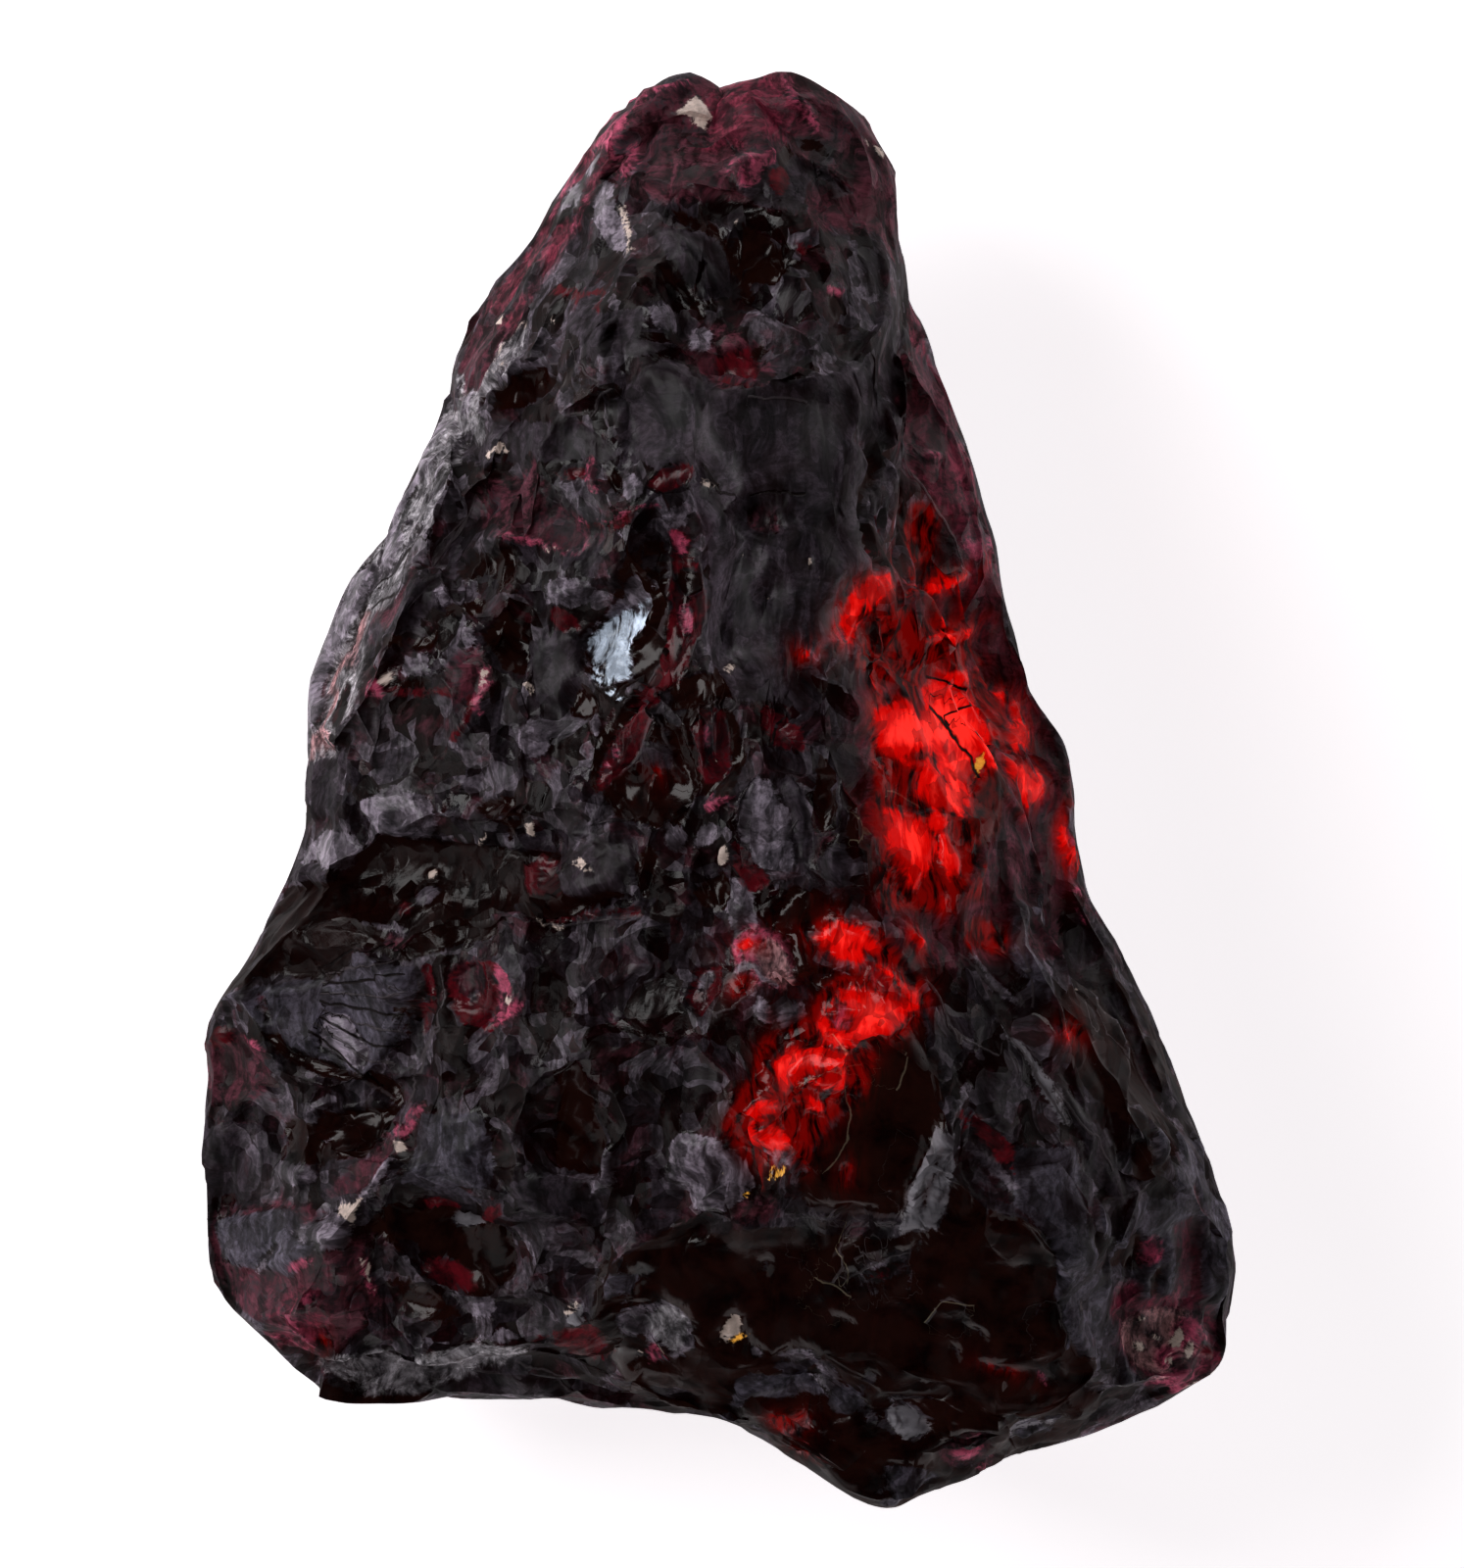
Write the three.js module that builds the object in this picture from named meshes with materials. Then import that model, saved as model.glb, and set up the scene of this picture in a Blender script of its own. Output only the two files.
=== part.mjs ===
// A rough, broken lump of dark red crystal, lying on its broad back face.
// Millimetres, +Z up. The origin is under the middle of the stone's outline, on the face it rests on.
// +Y runs from the wide end to the narrow tip.
import * as THREE from "three";
import { mergeVertices } from "three/addons/utils/BufferGeometryUtils.js";

// ---- Driving dimensions ----
const LENGTH = 40; // wide end to tip
const THICKNESS = 17.6; // back face to the highest ridge
const MESH_DETAIL = 21; // splits along each edge of the starting icosahedron
const SCALE = LENGTH / 40; // every place below is given for a stone 40 mm long

// ---- The rim: the stone's widest line, as [x, y, height], clockwise from the dip in the tip ----
const RIM = [
  [0, 19.5, 7.5], [0.7, 19.85, 7.5], [1.9, 20.15, 7.2], [2.8, 19.75, 6.8], [3.7, 18.8, 6.5],
  [4.4, 17.7, 6.3], [4.9, 16.4, 6.2], [5.05, 15, 6], [5.15, 13.7, 5.6], [6.1, 11.7, 5],
  [6.8, 9.8, 4.8], [7.4, 7.9, 4.8], [7.85, 6.2, 5], [8.1, 4.6, 5.2], [8.8, 2.5, 5.6],
  [9.5, 1.3, 6], [9.8, 0.2, 6.2], [9.9, -1.6, 6], [10.3, -3.2, 5.6], [11.6, -5.5, 5.2],
  [12.35, -7, 5.2], [13, -8.7, 5.4], [13.9, -11, 6], [14.35, -12.8, 6.4], [14.4, -13.9, 6.4],
  [14.1, -15.5, 6.2], [13.6, -16.4, 6], [11.2, -17.7, 5.6], [10.1, -18.2, 5.4],
  [8.3, -18.65, 6], [7.9, -18.95, 6.6], [6.4, -19.45, 7.2], [4.8, -20.15, 7.6], [3.8, -19.9, 7.4],
  [2.4, -18.9, 6.8], [0.8, -18.05, 6], [-0.4, -17.65, 5.4], [-2.4, -17.5, 4.8],
  [-4.2, -17.15, 4], [-7.9, -17.1, 3.8], [-8.7, -17.4, 4.2], [-10.7, -17.3, 4.6],
  [-11.4, -16.8, 5], [-12.2, -15.9, 5.6], [-13.3, -14.9, 6], [-14.05, -13.7, 6],
  [-14.2, -12, 6], [-14.35, -10.2, 6.2], [-14.1, -8.5, 6.4], [-14.2, -6.9, 6.4],
  [-13.6, -5.8, 6.4], [-12.7, -4.6, 6.2], [-12.1, -3, 6], [-11.7, -1.2, 6.2],
  [-11.4, 0.6, 6.8], [-11.4, 2.2, 7], [-10.9, 4.2, 6.8], [-10.4, 5.4, 6.6], [-9.2, 7.1, 6.4],
  [-8.5, 8.8, 6.2], [-7.7, 10.2, 6], [-7.4, 10.55, 4.8], [-7.3, 11.5, 4.6], [-6.4, 13.4, 4.8],
  [-5.4, 14.9, 5.2], [-4.1, 16.9, 5.8], [-3.2, 18.1, 6.4], [-2.5, 19.1, 7], [-1.7, 19.7, 7.4],
  [-0.9, 20.15, 7.6], [-0.4, 19.7, 7.6],
];

// ---- The broad faces, each as three points that it passes through ----
const FACES = {
  plate: [[0, 10, 15.8], [4, 10, 15.8], [2, 3, 17.3]],
  tip: [[-2, 12, 15.1], [4, 12, 14.9], [1, 19, 10.6]],
  tipLeft: [[-3, 17, 11.6], [-4.6, 13.5, 12.8], [-5.8, 14, 8.2]],
  leftBevel: [[-4.6, 13.5, 12.8], [-10.2, 2.4, 11.4], [-9.3, 6.9, 8]],
  leftMain: [[-1, 9, 15.9], [-9, 4, 12.4], [-3, -2, 15.7]],
  leftLow: [[-11.8, -2, 10.6], [-4, -3, 15.4], [-8, -9, 12.7]],
  lowerLeft: [[-9.5, -10, 12.2], [-4, -9, 14.6], [-6, -15.5, 10.8]],
  leftCorner: [[-10.2, -11.5, 11.4], [-11.2, -14.5, 9.8], [-13.8, -11, 7.6]],
  window: [[-3, -12.3, 14], [8.5, -12.1, 14.9], [4.5, -19.4, 9.6]],
  middle: [[-3, -2, 15.8], [4, -3.5, 17.4], [0, -9, 16.2]],
  glow: [[4.2, 6, 15.9], [4.2, -3.5, 17.2], [8.9, 1, 13.4]],
  rightFlank: [[9.3, -4.5, 14.6], [3.8, 10, 15.8], [11.3, -4.5, 10.2]],
  lowerRight: [[6.8, -9.8, 16.2], [9.6, -15.5, 13.4], [11, -11, 13.5]],
  rightCorner: [[11, -11, 13.5], [10.4, -17, 10.6], [13.4, -14, 8.8]],
};

// ---- Scars: [x, y, length, width, turn, depth, lean, lean towards] in millimetres and degrees ----
// A scar deepens in the direction that it leans towards, and ends there in a steep step.
const FRONT_SCARS = [
  // tip
  [0.1, 18.6, 2.6, 2.4, 90, 0.25],
  [2.9, 17.4, 5, 4.4, 30, 0.25, 7, 200],
  [-2, 17.2, 4, 3.4, 60, 0.2, 8, 300],
  [1.2, 14.4, 4.6, 2, -48, 0.4, 18, 40],
  [-1, 13.2, 3.4, 1.8, -50, 0.3, 15, 40],
  [-3.6, 14.6, 5.4, 3, 62, 0.25, 6, 160],
  [3.6, 13.4, 6, 3, 95, 0.2, 6, 20],
  [0.6, 11.7, 1.9, 1.5, -10, 0.35],
  [-2.6, 11.6, 5, 2.6, 5, 0.2, 8, 90],
  // left main face
  [-5.6, 11, 4, 2.2, -15, 0.4, 17, 100],
  [-3.2, 8.6, 5, 3.4, 15, 0.3, 11, 80],
  [-6, 8.2, 4.4, 3.6, 50, 0.25, 10, 120],
  [-7, 6, 2.6, 1.9, 0, 0.3, 17, 90],
  [-4.6, 6, 4.4, 3, 20, 0.2, 7, 60],
  [-1.5, 4.9, 6, 2.6, 84, 0.7, 26, 0],
  [-3.1, 4.4, 5, 3.4, 70, 0.35, 10, 330],
  [-5.7, 4.2, 2.6, 2, 100, 0.3, 11, 40],
  [-8.6, 4.6, 4.4, 3, 55, 0.25, 7, 200],
  [-6.8, 2.4, 4, 3.2, 80, 0.25, 13, 20],
  [-9.2, 1.4, 4.6, 3, 40, 0.25, 8, 60],
  [-7.2, -0.4, 5, 2.8, 0, 0.25, 10, 60],
  [-4.4, 1.4, 5, 4, 30, 0.25, 8, 120],
  [-2.7, 0.9, 3.6, 2, 70, 0.2, 13, 180],
  [-0.1, 0.8, 4.4, 2.2, 80, 0.2, 10, 0],
  [-1.9, -0.5, 2.9, 2.7, 0, 0.35, 8, 90],
  [-10.2, -1.4, 3.4, 2.4, 10, 0.2],
  // middle
  [1.2, -0.9, 6.4, 3, -60, 0.2, 10, 30],
  [3.3, -1.4, 5.6, 2.8, -70, 0.2, 8, 200],
  [2.6, 1.3, 4, 2, -10, 0.2, 11, 90],
  [-3.4, -2, 5, 3, 0, 0.2, 6, 270],
  [-7.4, -2.7, 9.4, 2.8, -6, 0.85, 28, 88],
  [-0.7, -2.9, 4, 3, 60, 0.25, 7, 120],
  // lower left
  [-11, -5.9, 7.4, 4.8, -6, 0.9, 16, 265],
  [-10.7, -9.4, 5, 3.2, -15, 0.4, 14, 70],
  [-12.8, -10.2, 4.4, 3.2, 80, 0.2],
  [-6.7, -5.8, 4, 3.6, 0, 0.3, 10, 150],
  [-3.9, -5.9, 5, 3.8, 25, 0.25, 10, 60],
  [-1.3, -6.4, 5, 3.8, 60, 0.25, 10, 130],
  [-1.9, -9, 4.6, 3.4, 70, 0.2, 10, 20],
  [-4.3, -9.4, 3.4, 2.6, 80, 0.4, 14, 200],
  [-7.2, -9.4, 6, 4, 78, 0.2, 4, 180],
  [-7.2, -13, 5, 3.4, -12, 0.9, 18, 80],
  [-4, -12.9, 4.8, 3.4, 60, 0.3, 10, 0],
  [-12.1, -13.6, 5.6, 4.6, 60, 0.25],
  [-9.4, -14.4, 4, 3, 60, 0.25, 7, 300],
  [-6, -15.3, 4.6, 2.4, 5, 0.25, 11, 90],
  // windows
  [4, -8.8, 6.6, 5, 82, 0.7, 6, 0],
  [4.6, -14.3, 10.4, 5.4, 3, 0.3, 5, 100],
  [-1.2, -13.8, 5.4, 3.6, 0, 0.25, 7, 90],
  [0.2, -11, 3.4, 3, 40, 0.15],
  [2.2, -17, 5, 3, -10, 0.3, 10, 80],
  [-2, -16.2, 5, 2.4, -8, 0.2, 7, 90],
  [5.6, -17.8, 3.8, 2.4, 20, 0.2, 7, 60],
  [8.2, -17, 4, 3, 10, 0.2],
  // grains and glow
  [3.6, -4.8, 3.6, 2.6, -30, 0.3, 10, 60],
  [2.5, -7.1, 4.4, 2.8, 45, 0.3, 10, 100],
  [0.4, -8, 3.4, 2.6, 60, 0.25, 8, 0],
  [-0.3, -4.8, 2.6, 3.4, 20, 0.2, 7, 180],
  [3.9, 4.9, 3.4, 2, 62, 0.2, 10, 330],
  [6.3, 1.7, 5.4, 3.8, -64, 0.3, 8, 40],
  [5.5, -1.9, 4.6, 3, 100, 0.3, 8, 180],
  [6.7, 4.9, 4, 2.6, 110, 0.2, 6, 20],
  [8.7, 0.4, 4.8, 2.4, 100, 0.25, 7, 200],
  [7.5, -2.9, 4.4, 3, 60, 0.25, 6, 300],
  [4.3, 8.6, 2.6, 1.6, 100, 0.4, 13, 0],
  [4.9, 7, 3.2, 1.7, 112, 0.35, 13, 20],
  // right flank
  [8.1, -6.2, 6.6, 2.2, -56, 0.25, 13, 30],
  [10.2, -7.4, 6.6, 3, -60, 0.3, 11, 210],
  [8, -10.4, 4.4, 2.8, -30, 0.2, 7, 240],
  [9.2, -13, 7.8, 3.4, 97, 0.2, 4, 0],
  [11.7, -10.2, 5, 3, -70, 0.3, 10, 200],
  [12.3, -12.9, 4, 2.6, 70, 0.3, 10, 180],
  [12, -15.6, 4.4, 3.4, 30, 0.25, 6, 200],
];
// ---- The same, placed by [degrees round the stone, height, ...] ----
const SIDE_SCARS = [
  [60, 10, 11, 7, -20, 1.3, 8, 90],
  [84, 10.6, 6, 5, 20, 0.6, 8, 90],
  [36, 8.8, 8, 5, 10, 0.8, 8, 60],
  [12, 9.4, 8, 5, -10, 0.8, 8, 120],
  [-14, 9.8, 7, 5, 30, 0.7],
  [-121, 6.8, 8, 3, 2, 0.7, 10, 90],
  [-105, 7.4, 6, 3, -8, 0.6, 10, 90],
  // below the rim
  [108, 2.8, 9, 6, 30, 0.7, 8, -60],
  [70, 1.2, 7, 4.4, -20, 0.7, 14, -90],
  [44, 3.2, 6, 4.6, 50, 0.6, 10, 180],
  [18, 1.6, 13, 5.4, 14, 1.1, 12, -90],
  [-13, 3.4, 6, 4, -40, 0.6, 8, 0],
  [-36, 1.6, 9, 5.6, 24, 1, 14, -100],
  [-62, 3.4, 5, 3.4, -30, 0.5, 10, 0],
  [-80, 1.2, 9, 3.6, -10, 0.7, 14, -90],
  [-112, 2.2, 10, 4.6, 12, 0.6, 12, -90],
  [-143, 1.4, 7, 5, -30, 0.9, 12, -90],
  [-170, 3.4, 8, 5, 34, 0.8, 8, -60],
  [164, 1.4, 7, 4, -10, 0.7, 14, -90],
  [140, 3, 11, 5, -24, 0.9, 10, -90],
];
const BACK_SCARS = [
  [-9, -11, 9, 7, 40, 0.9, 6, 220],
  [-4.6, -12.6, 7, 3.4, 10, 0.4, 5, 270],
  [5.6, 3, 9, 5, 75, 0.8, 6, 10],
  [9.6, -9, 8, 6, -60, 0.7, 6, 350],
  [6.6, -13.6, 8, 4.6, 15, 0.6, 6, 280],
  [-5, 6, 10, 5, 62, 0.8, 6, 160],
  [-0.6, 12.6, 7, 5, 80, 0.7, 5, 90],
];

// ---- Small chips all over, fewer on the flat cleaved faces ----
const CHIP_SPACING = 2.9;
const CHIP_DEPTH = [0.05, 0.35]; // shallowest and deepest
const CHIP_RADIUS = 10; // how hollow a chip is
const CHIP_SLOPE = 0.26; // how far a chip's floor can tip
const CHIP_STRETCH = [1, 1.4, 0.85]; // chips run along the stone
const CALM_FACES = { tipLeft: 0.1, leftBevel: 0.25, window: 0.5 };
// Smooth cleaved spots on the front, as [x, y, radius]
const CALM_SPOTS = [
  [1.8, 9.6, 2.6], [1.7, 5.2, 2.8], [4, -9, 3], [1.4, -14.2, 2.8], [5.4, -14.5, 3.2], [8.2, -15.4, 2.4],
  [1.3, -1, 1.9], [3.3, -1.6, 1.7], [-11, -6, 3], [-12.2, -13.4, 2.2], [9.2, -12.6, 2],
];
const MOST_CHIPPED = 0.6;
const CALM_BASE = 1.6; // the chips fade out over this height, down to the flat back
const CALM_AT_RIM = 0.2; // share of a chip's depth that is left at the rim

const CENTRE = [0, -4]; // the rim is seen as one turn about this point
const RIM_SPARE = 0.1; // the chips take this much off the rim again
const CORE_HEIGHT = 6; // rays leave the inside of the stone from about this level
const CORE_SHARE = 0.7; // how far out towards the rim the outermost rays start
const LEAN = 3; // how late the rays lean over on their way out to the rim
const WALL_BIAS = 1.45; // moves vertices from the middle of both faces to the wall
const FRONT_BIAS = 0.22; // moves vertices from the back face to the front
const FRONT_ROUNDING = [0.45, 2]; // how much the wall draws in above the rim, and how late
const BACK_ROUNDING = [0.3, 1.6];
const RIM_DETAIL = 4; // how far up and down the wall the outline's small bays reach
const BITE = 0.35; // a scar's depth as a share of its ellipsoid's half height
const DRIFT_SPACING = 2.3; // how far apart the scars' edges turn in and out
const DRIFT = 0.75; // and how far they wander
const FAR = 40;
const SMOOTH_REACH = 9; // how many degrees of the outline the smoothed wall is averaged over
const SMOOTH_TABLE = 360;
const TURN_TABLE = 720;
const TURN_SPREAD = 1.05; // how much closer together the vertices are where the rim is further out
const SWAP_PASSES = 3;
const SWAP_GAIN = 0.8; // how much better the other diagonal must be
const SWAP_OPEN = 0.15; // how open, as a sine, the new triangles must stay
const REACH = 0.5; // the furthest a vertex slides onto an edge, as a share of a triangle's side

const degrees = THREE.MathUtils.degToRad;

// ---- The wall: the rim's outline, drawn in towards the front and the back ----
const rimByAngle = RIM.map(([x, y, z]) => {
  const dx = (x - CENTRE[0]) * SCALE;
  const dy = (y - CENTRE[1]) * SCALE;
  return { angle: Math.atan2(dy, dx), radius: Math.hypot(dx, dy) + RIM_SPARE * SCALE, height: z * SCALE };
}).sort((a, b) => a.angle - b.angle);

function rimAt(angle) {
  const count = rimByAngle.length;
  let next = rimByAngle.findIndex((point) => point.angle > angle);
  if (next < 0) next = count;
  const a = rimByAngle[(next - 1 + count) % count];
  const b = rimByAngle[next % count];
  const turn = 2 * Math.PI;
  const span = (b.angle - a.angle + turn) % turn || turn;
  const share = ((angle - a.angle + turn) % turn) / span;
  return {
    radius: THREE.MathUtils.lerp(a.radius, b.radius, share),
    height: THREE.MathUtils.lerp(a.height, b.height, share),
  };
}

// Away from the rim the wall forgets the small bays of the outline.
const smoothRadius = Array.from({ length: SMOOTH_TABLE }, (_, i) => {
  const angle = (i / SMOOTH_TABLE) * 2 * Math.PI - Math.PI;
  const shares = [-1, -0.75, -0.5, -0.25, 0, 0.25, 0.5, 0.75, 1];
  const radii = shares.map((share) => rimAt(angle + share * degrees(SMOOTH_REACH)).radius);
  return radii.reduce((sum, radius) => sum + radius, 0) / shares.length;
});

function smoothAt(angle) {
  const place = ((angle / (2 * Math.PI) + 1.5) % 1) * SMOOTH_TABLE;
  const low = Math.floor(place);
  const next = smoothRadius[(low + 1) % SMOOTH_TABLE];
  return THREE.MathUtils.lerp(smoothRadius[low % SMOOTH_TABLE], next, place - low);
}

function outsideWall(p) {
  const dx = p.x - CENTRE[0] * SCALE;
  const dy = p.y - CENTRE[1] * SCALE;
  const angle = Math.atan2(dy, dx);
  const rim = rimAt(angle);
  const front = p.z > rim.height;
  const [amount, power] = front ? FRONT_ROUNDING : BACK_ROUNDING;
  const room = front ? THICKNESS * SCALE - rim.height : rim.height;
  const share = Math.abs(p.z - rim.height) / room;
  const detail = Math.exp(-(((p.z - rim.height) / (RIM_DETAIL * SCALE)) ** 4));
  const radius = Math.min(THREE.MathUtils.lerp(smoothAt(angle), rim.radius, detail), rim.radius);
  return Math.hypot(dx, dy) > radius * (1 - amount * share ** power);
}

function wallExit(origin, direction) {
  let inside = 0;
  let outside = FAR;
  const p = new THREE.Vector3();
  for (let step = 0; step < 30; step++) {
    const middle = (inside + outside) / 2;
    if (outsideWall(p.copy(origin).addScaledVector(direction, middle))) outside = middle;
    else inside = middle;
  }
  return outside;
}

// ---- The flat faces ----
const faceNames = Object.keys(FACES);
const faces = Object.values(FACES).map((corners) => {
  const plane = new THREE.Plane().setFromCoplanarPoints(
    ...corners.map((corner) => new THREE.Vector3(...corner).multiplyScalar(SCALE)),
  );
  return plane.normal.z < 0 ? plane.negate() : plane;
});
faces.push(new THREE.Plane(new THREE.Vector3(0, 0, -1), 0)); // the back, which it rests on

function faceExit(plane, origin, direction) {
  const along = plane.normal.dot(direction);
  return along > 1e-9 ? -plane.distanceToPoint(origin) / along : FAR;
}

// ---- Where a ray from inside leaves the stone, and which face it leaves through ----
const scars = [];

function random(i, j, k, salt) {
  const x = Math.sin(i * 127.1 + j * 311.7 + k * 74.7 + salt * 53.3) * 43758.5453;
  return x - Math.floor(x);
}

// Smooth wandering to and fro, so that the scars have uneven edges
function drift(point) {
  const p = point.clone().divideScalar(DRIFT_SPACING * SCALE);
  const low = p.clone().floor();
  const share = p.sub(low);
  const total = new THREE.Vector3();
  for (let corner = 0; corner < 8; corner++) {
    const [i, j, k] = [corner & 1, (corner >> 1) & 1, corner >> 2];
    const x = i ? share.x : 1 - share.x;
    const y = j ? share.y : 1 - share.y;
    const z = k ? share.z : 1 - share.z;
    const weight = [x, y, z].reduce((product, side) => product * THREE.MathUtils.smoothstep(side, 0, 1), 1);
    const at = [low.x + i, low.y + j, low.z + k];
    total.x += weight * (random(...at, 20) - 0.5);
    total.y += weight * (random(...at, 21) - 0.5);
    total.z += weight * (random(...at, 22) - 0.5);
  }
  return total.multiplyScalar(2 * DRIFT * SCALE);
}

function leave(origin, direction, withScars = true) {
  let t = wallExit(origin, direction);
  let id = -1;
  faces.forEach((plane, index) => {
    const exit = faceExit(plane, origin, direction);
    if (exit < t) {
      t = exit;
      id = index;
    }
  });
  if (withScars) {
    const start = drift(origin.clone().addScaledVector(direction, t)).projectOnPlane(direction).add(origin);
    scars.forEach((scar, index) => {
      const entry = scarEntry(scar, start, direction);
      if (entry < t) {
        t = entry;
        id = faces.length + index;
      }
    });
  }
  return { t, id, point: origin.clone().addScaledVector(direction, t) };
}

// A scar is one ellipsoid cut out of the stone, kept as the matrix that turns it into a unit ball.
function scarEntry(scar, origin, direction) {
  const o = origin.clone().applyMatrix4(scar);
  const d = origin.clone().add(direction).applyMatrix4(scar).sub(o);
  const a = d.lengthSq();
  const b = o.dot(d);
  const root = b * b - a * (o.lengthSq() - 1);
  if (root <= 0 || b >= 0) return FAR;
  return Math.max((-b - Math.sqrt(root)) / a, 0);
}

// ---- Placing the scars on the uncut faces ----
const SPOTS = {
  front: (x, y) => [new THREE.Vector3(x * SCALE, y * SCALE, CORE_HEIGHT * SCALE), new THREE.Vector3(0, 0, 1)],
  back: (x, y) => [new THREE.Vector3(x * SCALE, y * SCALE, CORE_HEIGHT * SCALE), new THREE.Vector3(0, 0, -1)],
  side: (azimuth, height) => {
    const a = degrees(azimuth);
    const origin = new THREE.Vector3(CENTRE[0] * SCALE, CENTRE[1] * SCALE, height * SCALE);
    return [origin, new THREE.Vector3(Math.cos(a), Math.sin(a), 0)];
  },
};

function cutScar(side, [u, v, length, width, turn, depth, lean = 0, towards = 0]) {
  const [here, alongU, alongV] = [[0, 0], [0.4, 0], [0, 0.4]].map(
    ([du, dv]) => leave(...SPOTS[side](u + du, v + dv), false).point,
  );
  const normal = alongU.sub(here).cross(alongV.sub(here)).normalize();
  if (normal.dot(SPOTS[side](u, v)[1]) < 0) normal.negate();
  const upright = side === "side";
  const inPlan = (angle) => {
    const a = degrees(angle);
    if (!upright) return new THREE.Vector3(Math.cos(a), Math.sin(a), 0);
    const across = new THREE.Vector3(0, 0, 1).cross(normal).normalize();
    return across.multiplyScalar(Math.cos(a)).add(new THREE.Vector3(0, 0, Math.sin(a)));
  };
  const axis = normal.multiplyScalar(Math.cos(degrees(lean)));
  axis.addScaledVector(inPlan(towards), Math.sin(degrees(lean))).normalize();
  const long = inPlan(turn).projectOnPlane(axis).normalize();
  const half = (depth / BITE) * SCALE;
  const spread = Math.sqrt(1 - (1 - BITE) ** 2);
  const centre = here.addScaledVector(axis, half * (1 - BITE));
  const ball = new THREE.Matrix4()
    .makeBasis(long, new THREE.Vector3().crossVectors(axis, long), axis)
    .scale(new THREE.Vector3((length / 2 / spread) * SCALE, (width / 2 / spread) * SCALE, half))
    .setPosition(centre);
  scars.push(ball.invert());
}
FRONT_SCARS.forEach((scar) => cutScar("front", scar));
SIDE_SCARS.forEach((scar) => cutScar("side", scar));
BACK_SCARS.forEach((scar) => cutScar("back", scar));

// ---- Chips: hollow, tipped floors round the points of a shaken lattice, the deepest one winning ----
function chipAt(point) {
  const spacing = CHIP_SPACING * SCALE;
  const p = point.clone().divide(new THREE.Vector3(...CHIP_STRETCH));
  const cell = p.clone().divideScalar(spacing).floor();
  let best = { depth: 0, id: 0 };
  for (let i = cell.x - 1; i <= cell.x + 1; i++) {
    for (let j = cell.y - 1; j <= cell.y + 1; j++) {
      for (let k = cell.z - 1; k <= cell.z + 1; k++) {
        const [a, b, c, d, e, f, g] = [0, 1, 2, 3, 4, 5, 6].map((salt) => random(i, j, k, salt));
        const away = new THREE.Vector3(i + a, j + b, k + c).multiplyScalar(-spacing).add(p);
        const tip = new THREE.Vector3(e - 0.5, f - 0.5, g - 0.5).multiplyScalar(2 * CHIP_SLOPE);
        const floor = THREE.MathUtils.lerp(...CHIP_DEPTH, d) * SCALE;
        const depth = floor - away.lengthSq() / (2 * CHIP_RADIUS * SCALE) + away.dot(tip);
        if (depth > best.depth) best = { depth, id: 1 + Math.floor(1e6 * a) };
      }
    }
  }
  best.depth = Math.min(best.depth, MOST_CHIPPED * SCALE);
  return best;
}

function calmAt(point) {
  if (point.z < CORE_HEIGHT * SCALE) return THREE.MathUtils.smoothstep(point.z, 0, CALM_BASE * SCALE);
  const shares = CALM_SPOTS.map(([x, y, radius]) => {
    const away = Math.hypot(point.x - x * SCALE, point.y - y * SCALE) / SCALE;
    return THREE.MathUtils.smoothstep(away, 0.7 * radius, radius);
  });
  return Math.max(0.06, Math.min(...shares));
}

// Equal turns of the ball are spread so that they give about equal lengths along the rim.
const turnSums = [0];
for (let i = 0; i < TURN_TABLE; i++) {
  turnSums.push(turnSums[i] + smoothAt(((i + 0.5) / TURN_TABLE) * 2 * Math.PI - Math.PI) ** TURN_SPREAD);
}

function spreadAngle(angle) {
  const wanted = (angle / (2 * Math.PI) + 0.5) * turnSums[TURN_TABLE];
  let low = 0;
  let high = TURN_TABLE;
  while (high - low > 1) {
    const middle = (low + high) >> 1;
    if (turnSums[middle] <= wanted) low = middle;
    else high = middle;
  }
  const share = (wanted - turnSums[low]) / (turnSums[high] - turnSums[low]);
  return ((low + share) / TURN_TABLE) * 2 * Math.PI - Math.PI;
}

// ---- The mesh: one ray for each vertex of an icosphere ----
function leaveAt(unit) {
  const u = unit.clone();
  u.z += FRONT_BIAS;
  u.normalize();
  const angle = spreadAngle(Math.atan2(u.y, u.x));
  const rim = rimAt(angle);
  const out = Math.sqrt(1 - Math.abs(u.z) ** WALL_BIAS);
  const away = CORE_SHARE * out * rim.radius;
  const origin = new THREE.Vector3(
    CENTRE[0] * SCALE + away * Math.cos(angle),
    CENTRE[1] * SCALE + away * Math.sin(angle),
    THREE.MathUtils.lerp(CORE_HEIGHT * SCALE, rim.height, out),
  );
  const lean = out ** LEAN;
  const rise = Math.sign(u.z) * Math.sqrt(1 - lean * lean);
  const direction = new THREE.Vector3(lean * Math.cos(angle), lean * Math.sin(angle), rise);
  const hit = leave(origin, direction);
  const chip = chipAt(hit.point);
  const calm = (CALM_FACES[faceNames[hit.id]] ?? 1) * calmAt(hit.point);
  const up = THREE.MathUtils.smoothstep(Math.abs(hit.point.z - rim.height), 0, 3 * SCALE);
  const depth = chip.depth * calm * THREE.MathUtils.lerp(CALM_AT_RIM, 1, up);
  hit.point.addScaledVector(direction, -depth);
  if (depth > 0) hit.id += FAR * chip.id;
  return hit;
}

const ball = new THREE.IcosahedronGeometry(1, MESH_DETAIL);
ball.deleteAttribute("normal");
ball.deleteAttribute("uv");
const stone = mergeVertices(ball, 1e-5);
const position = stone.getAttribute("position");
const corners = stone.getIndex().array;
const units = [];
for (let i = 0; i < position.count; i++) units.push(new THREE.Vector3().fromBufferAttribute(position, i));
const hits = units.map(leaveAt);
const unitOf = (vertex) => slides.get(vertex)?.unit ?? units[vertex];

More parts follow.
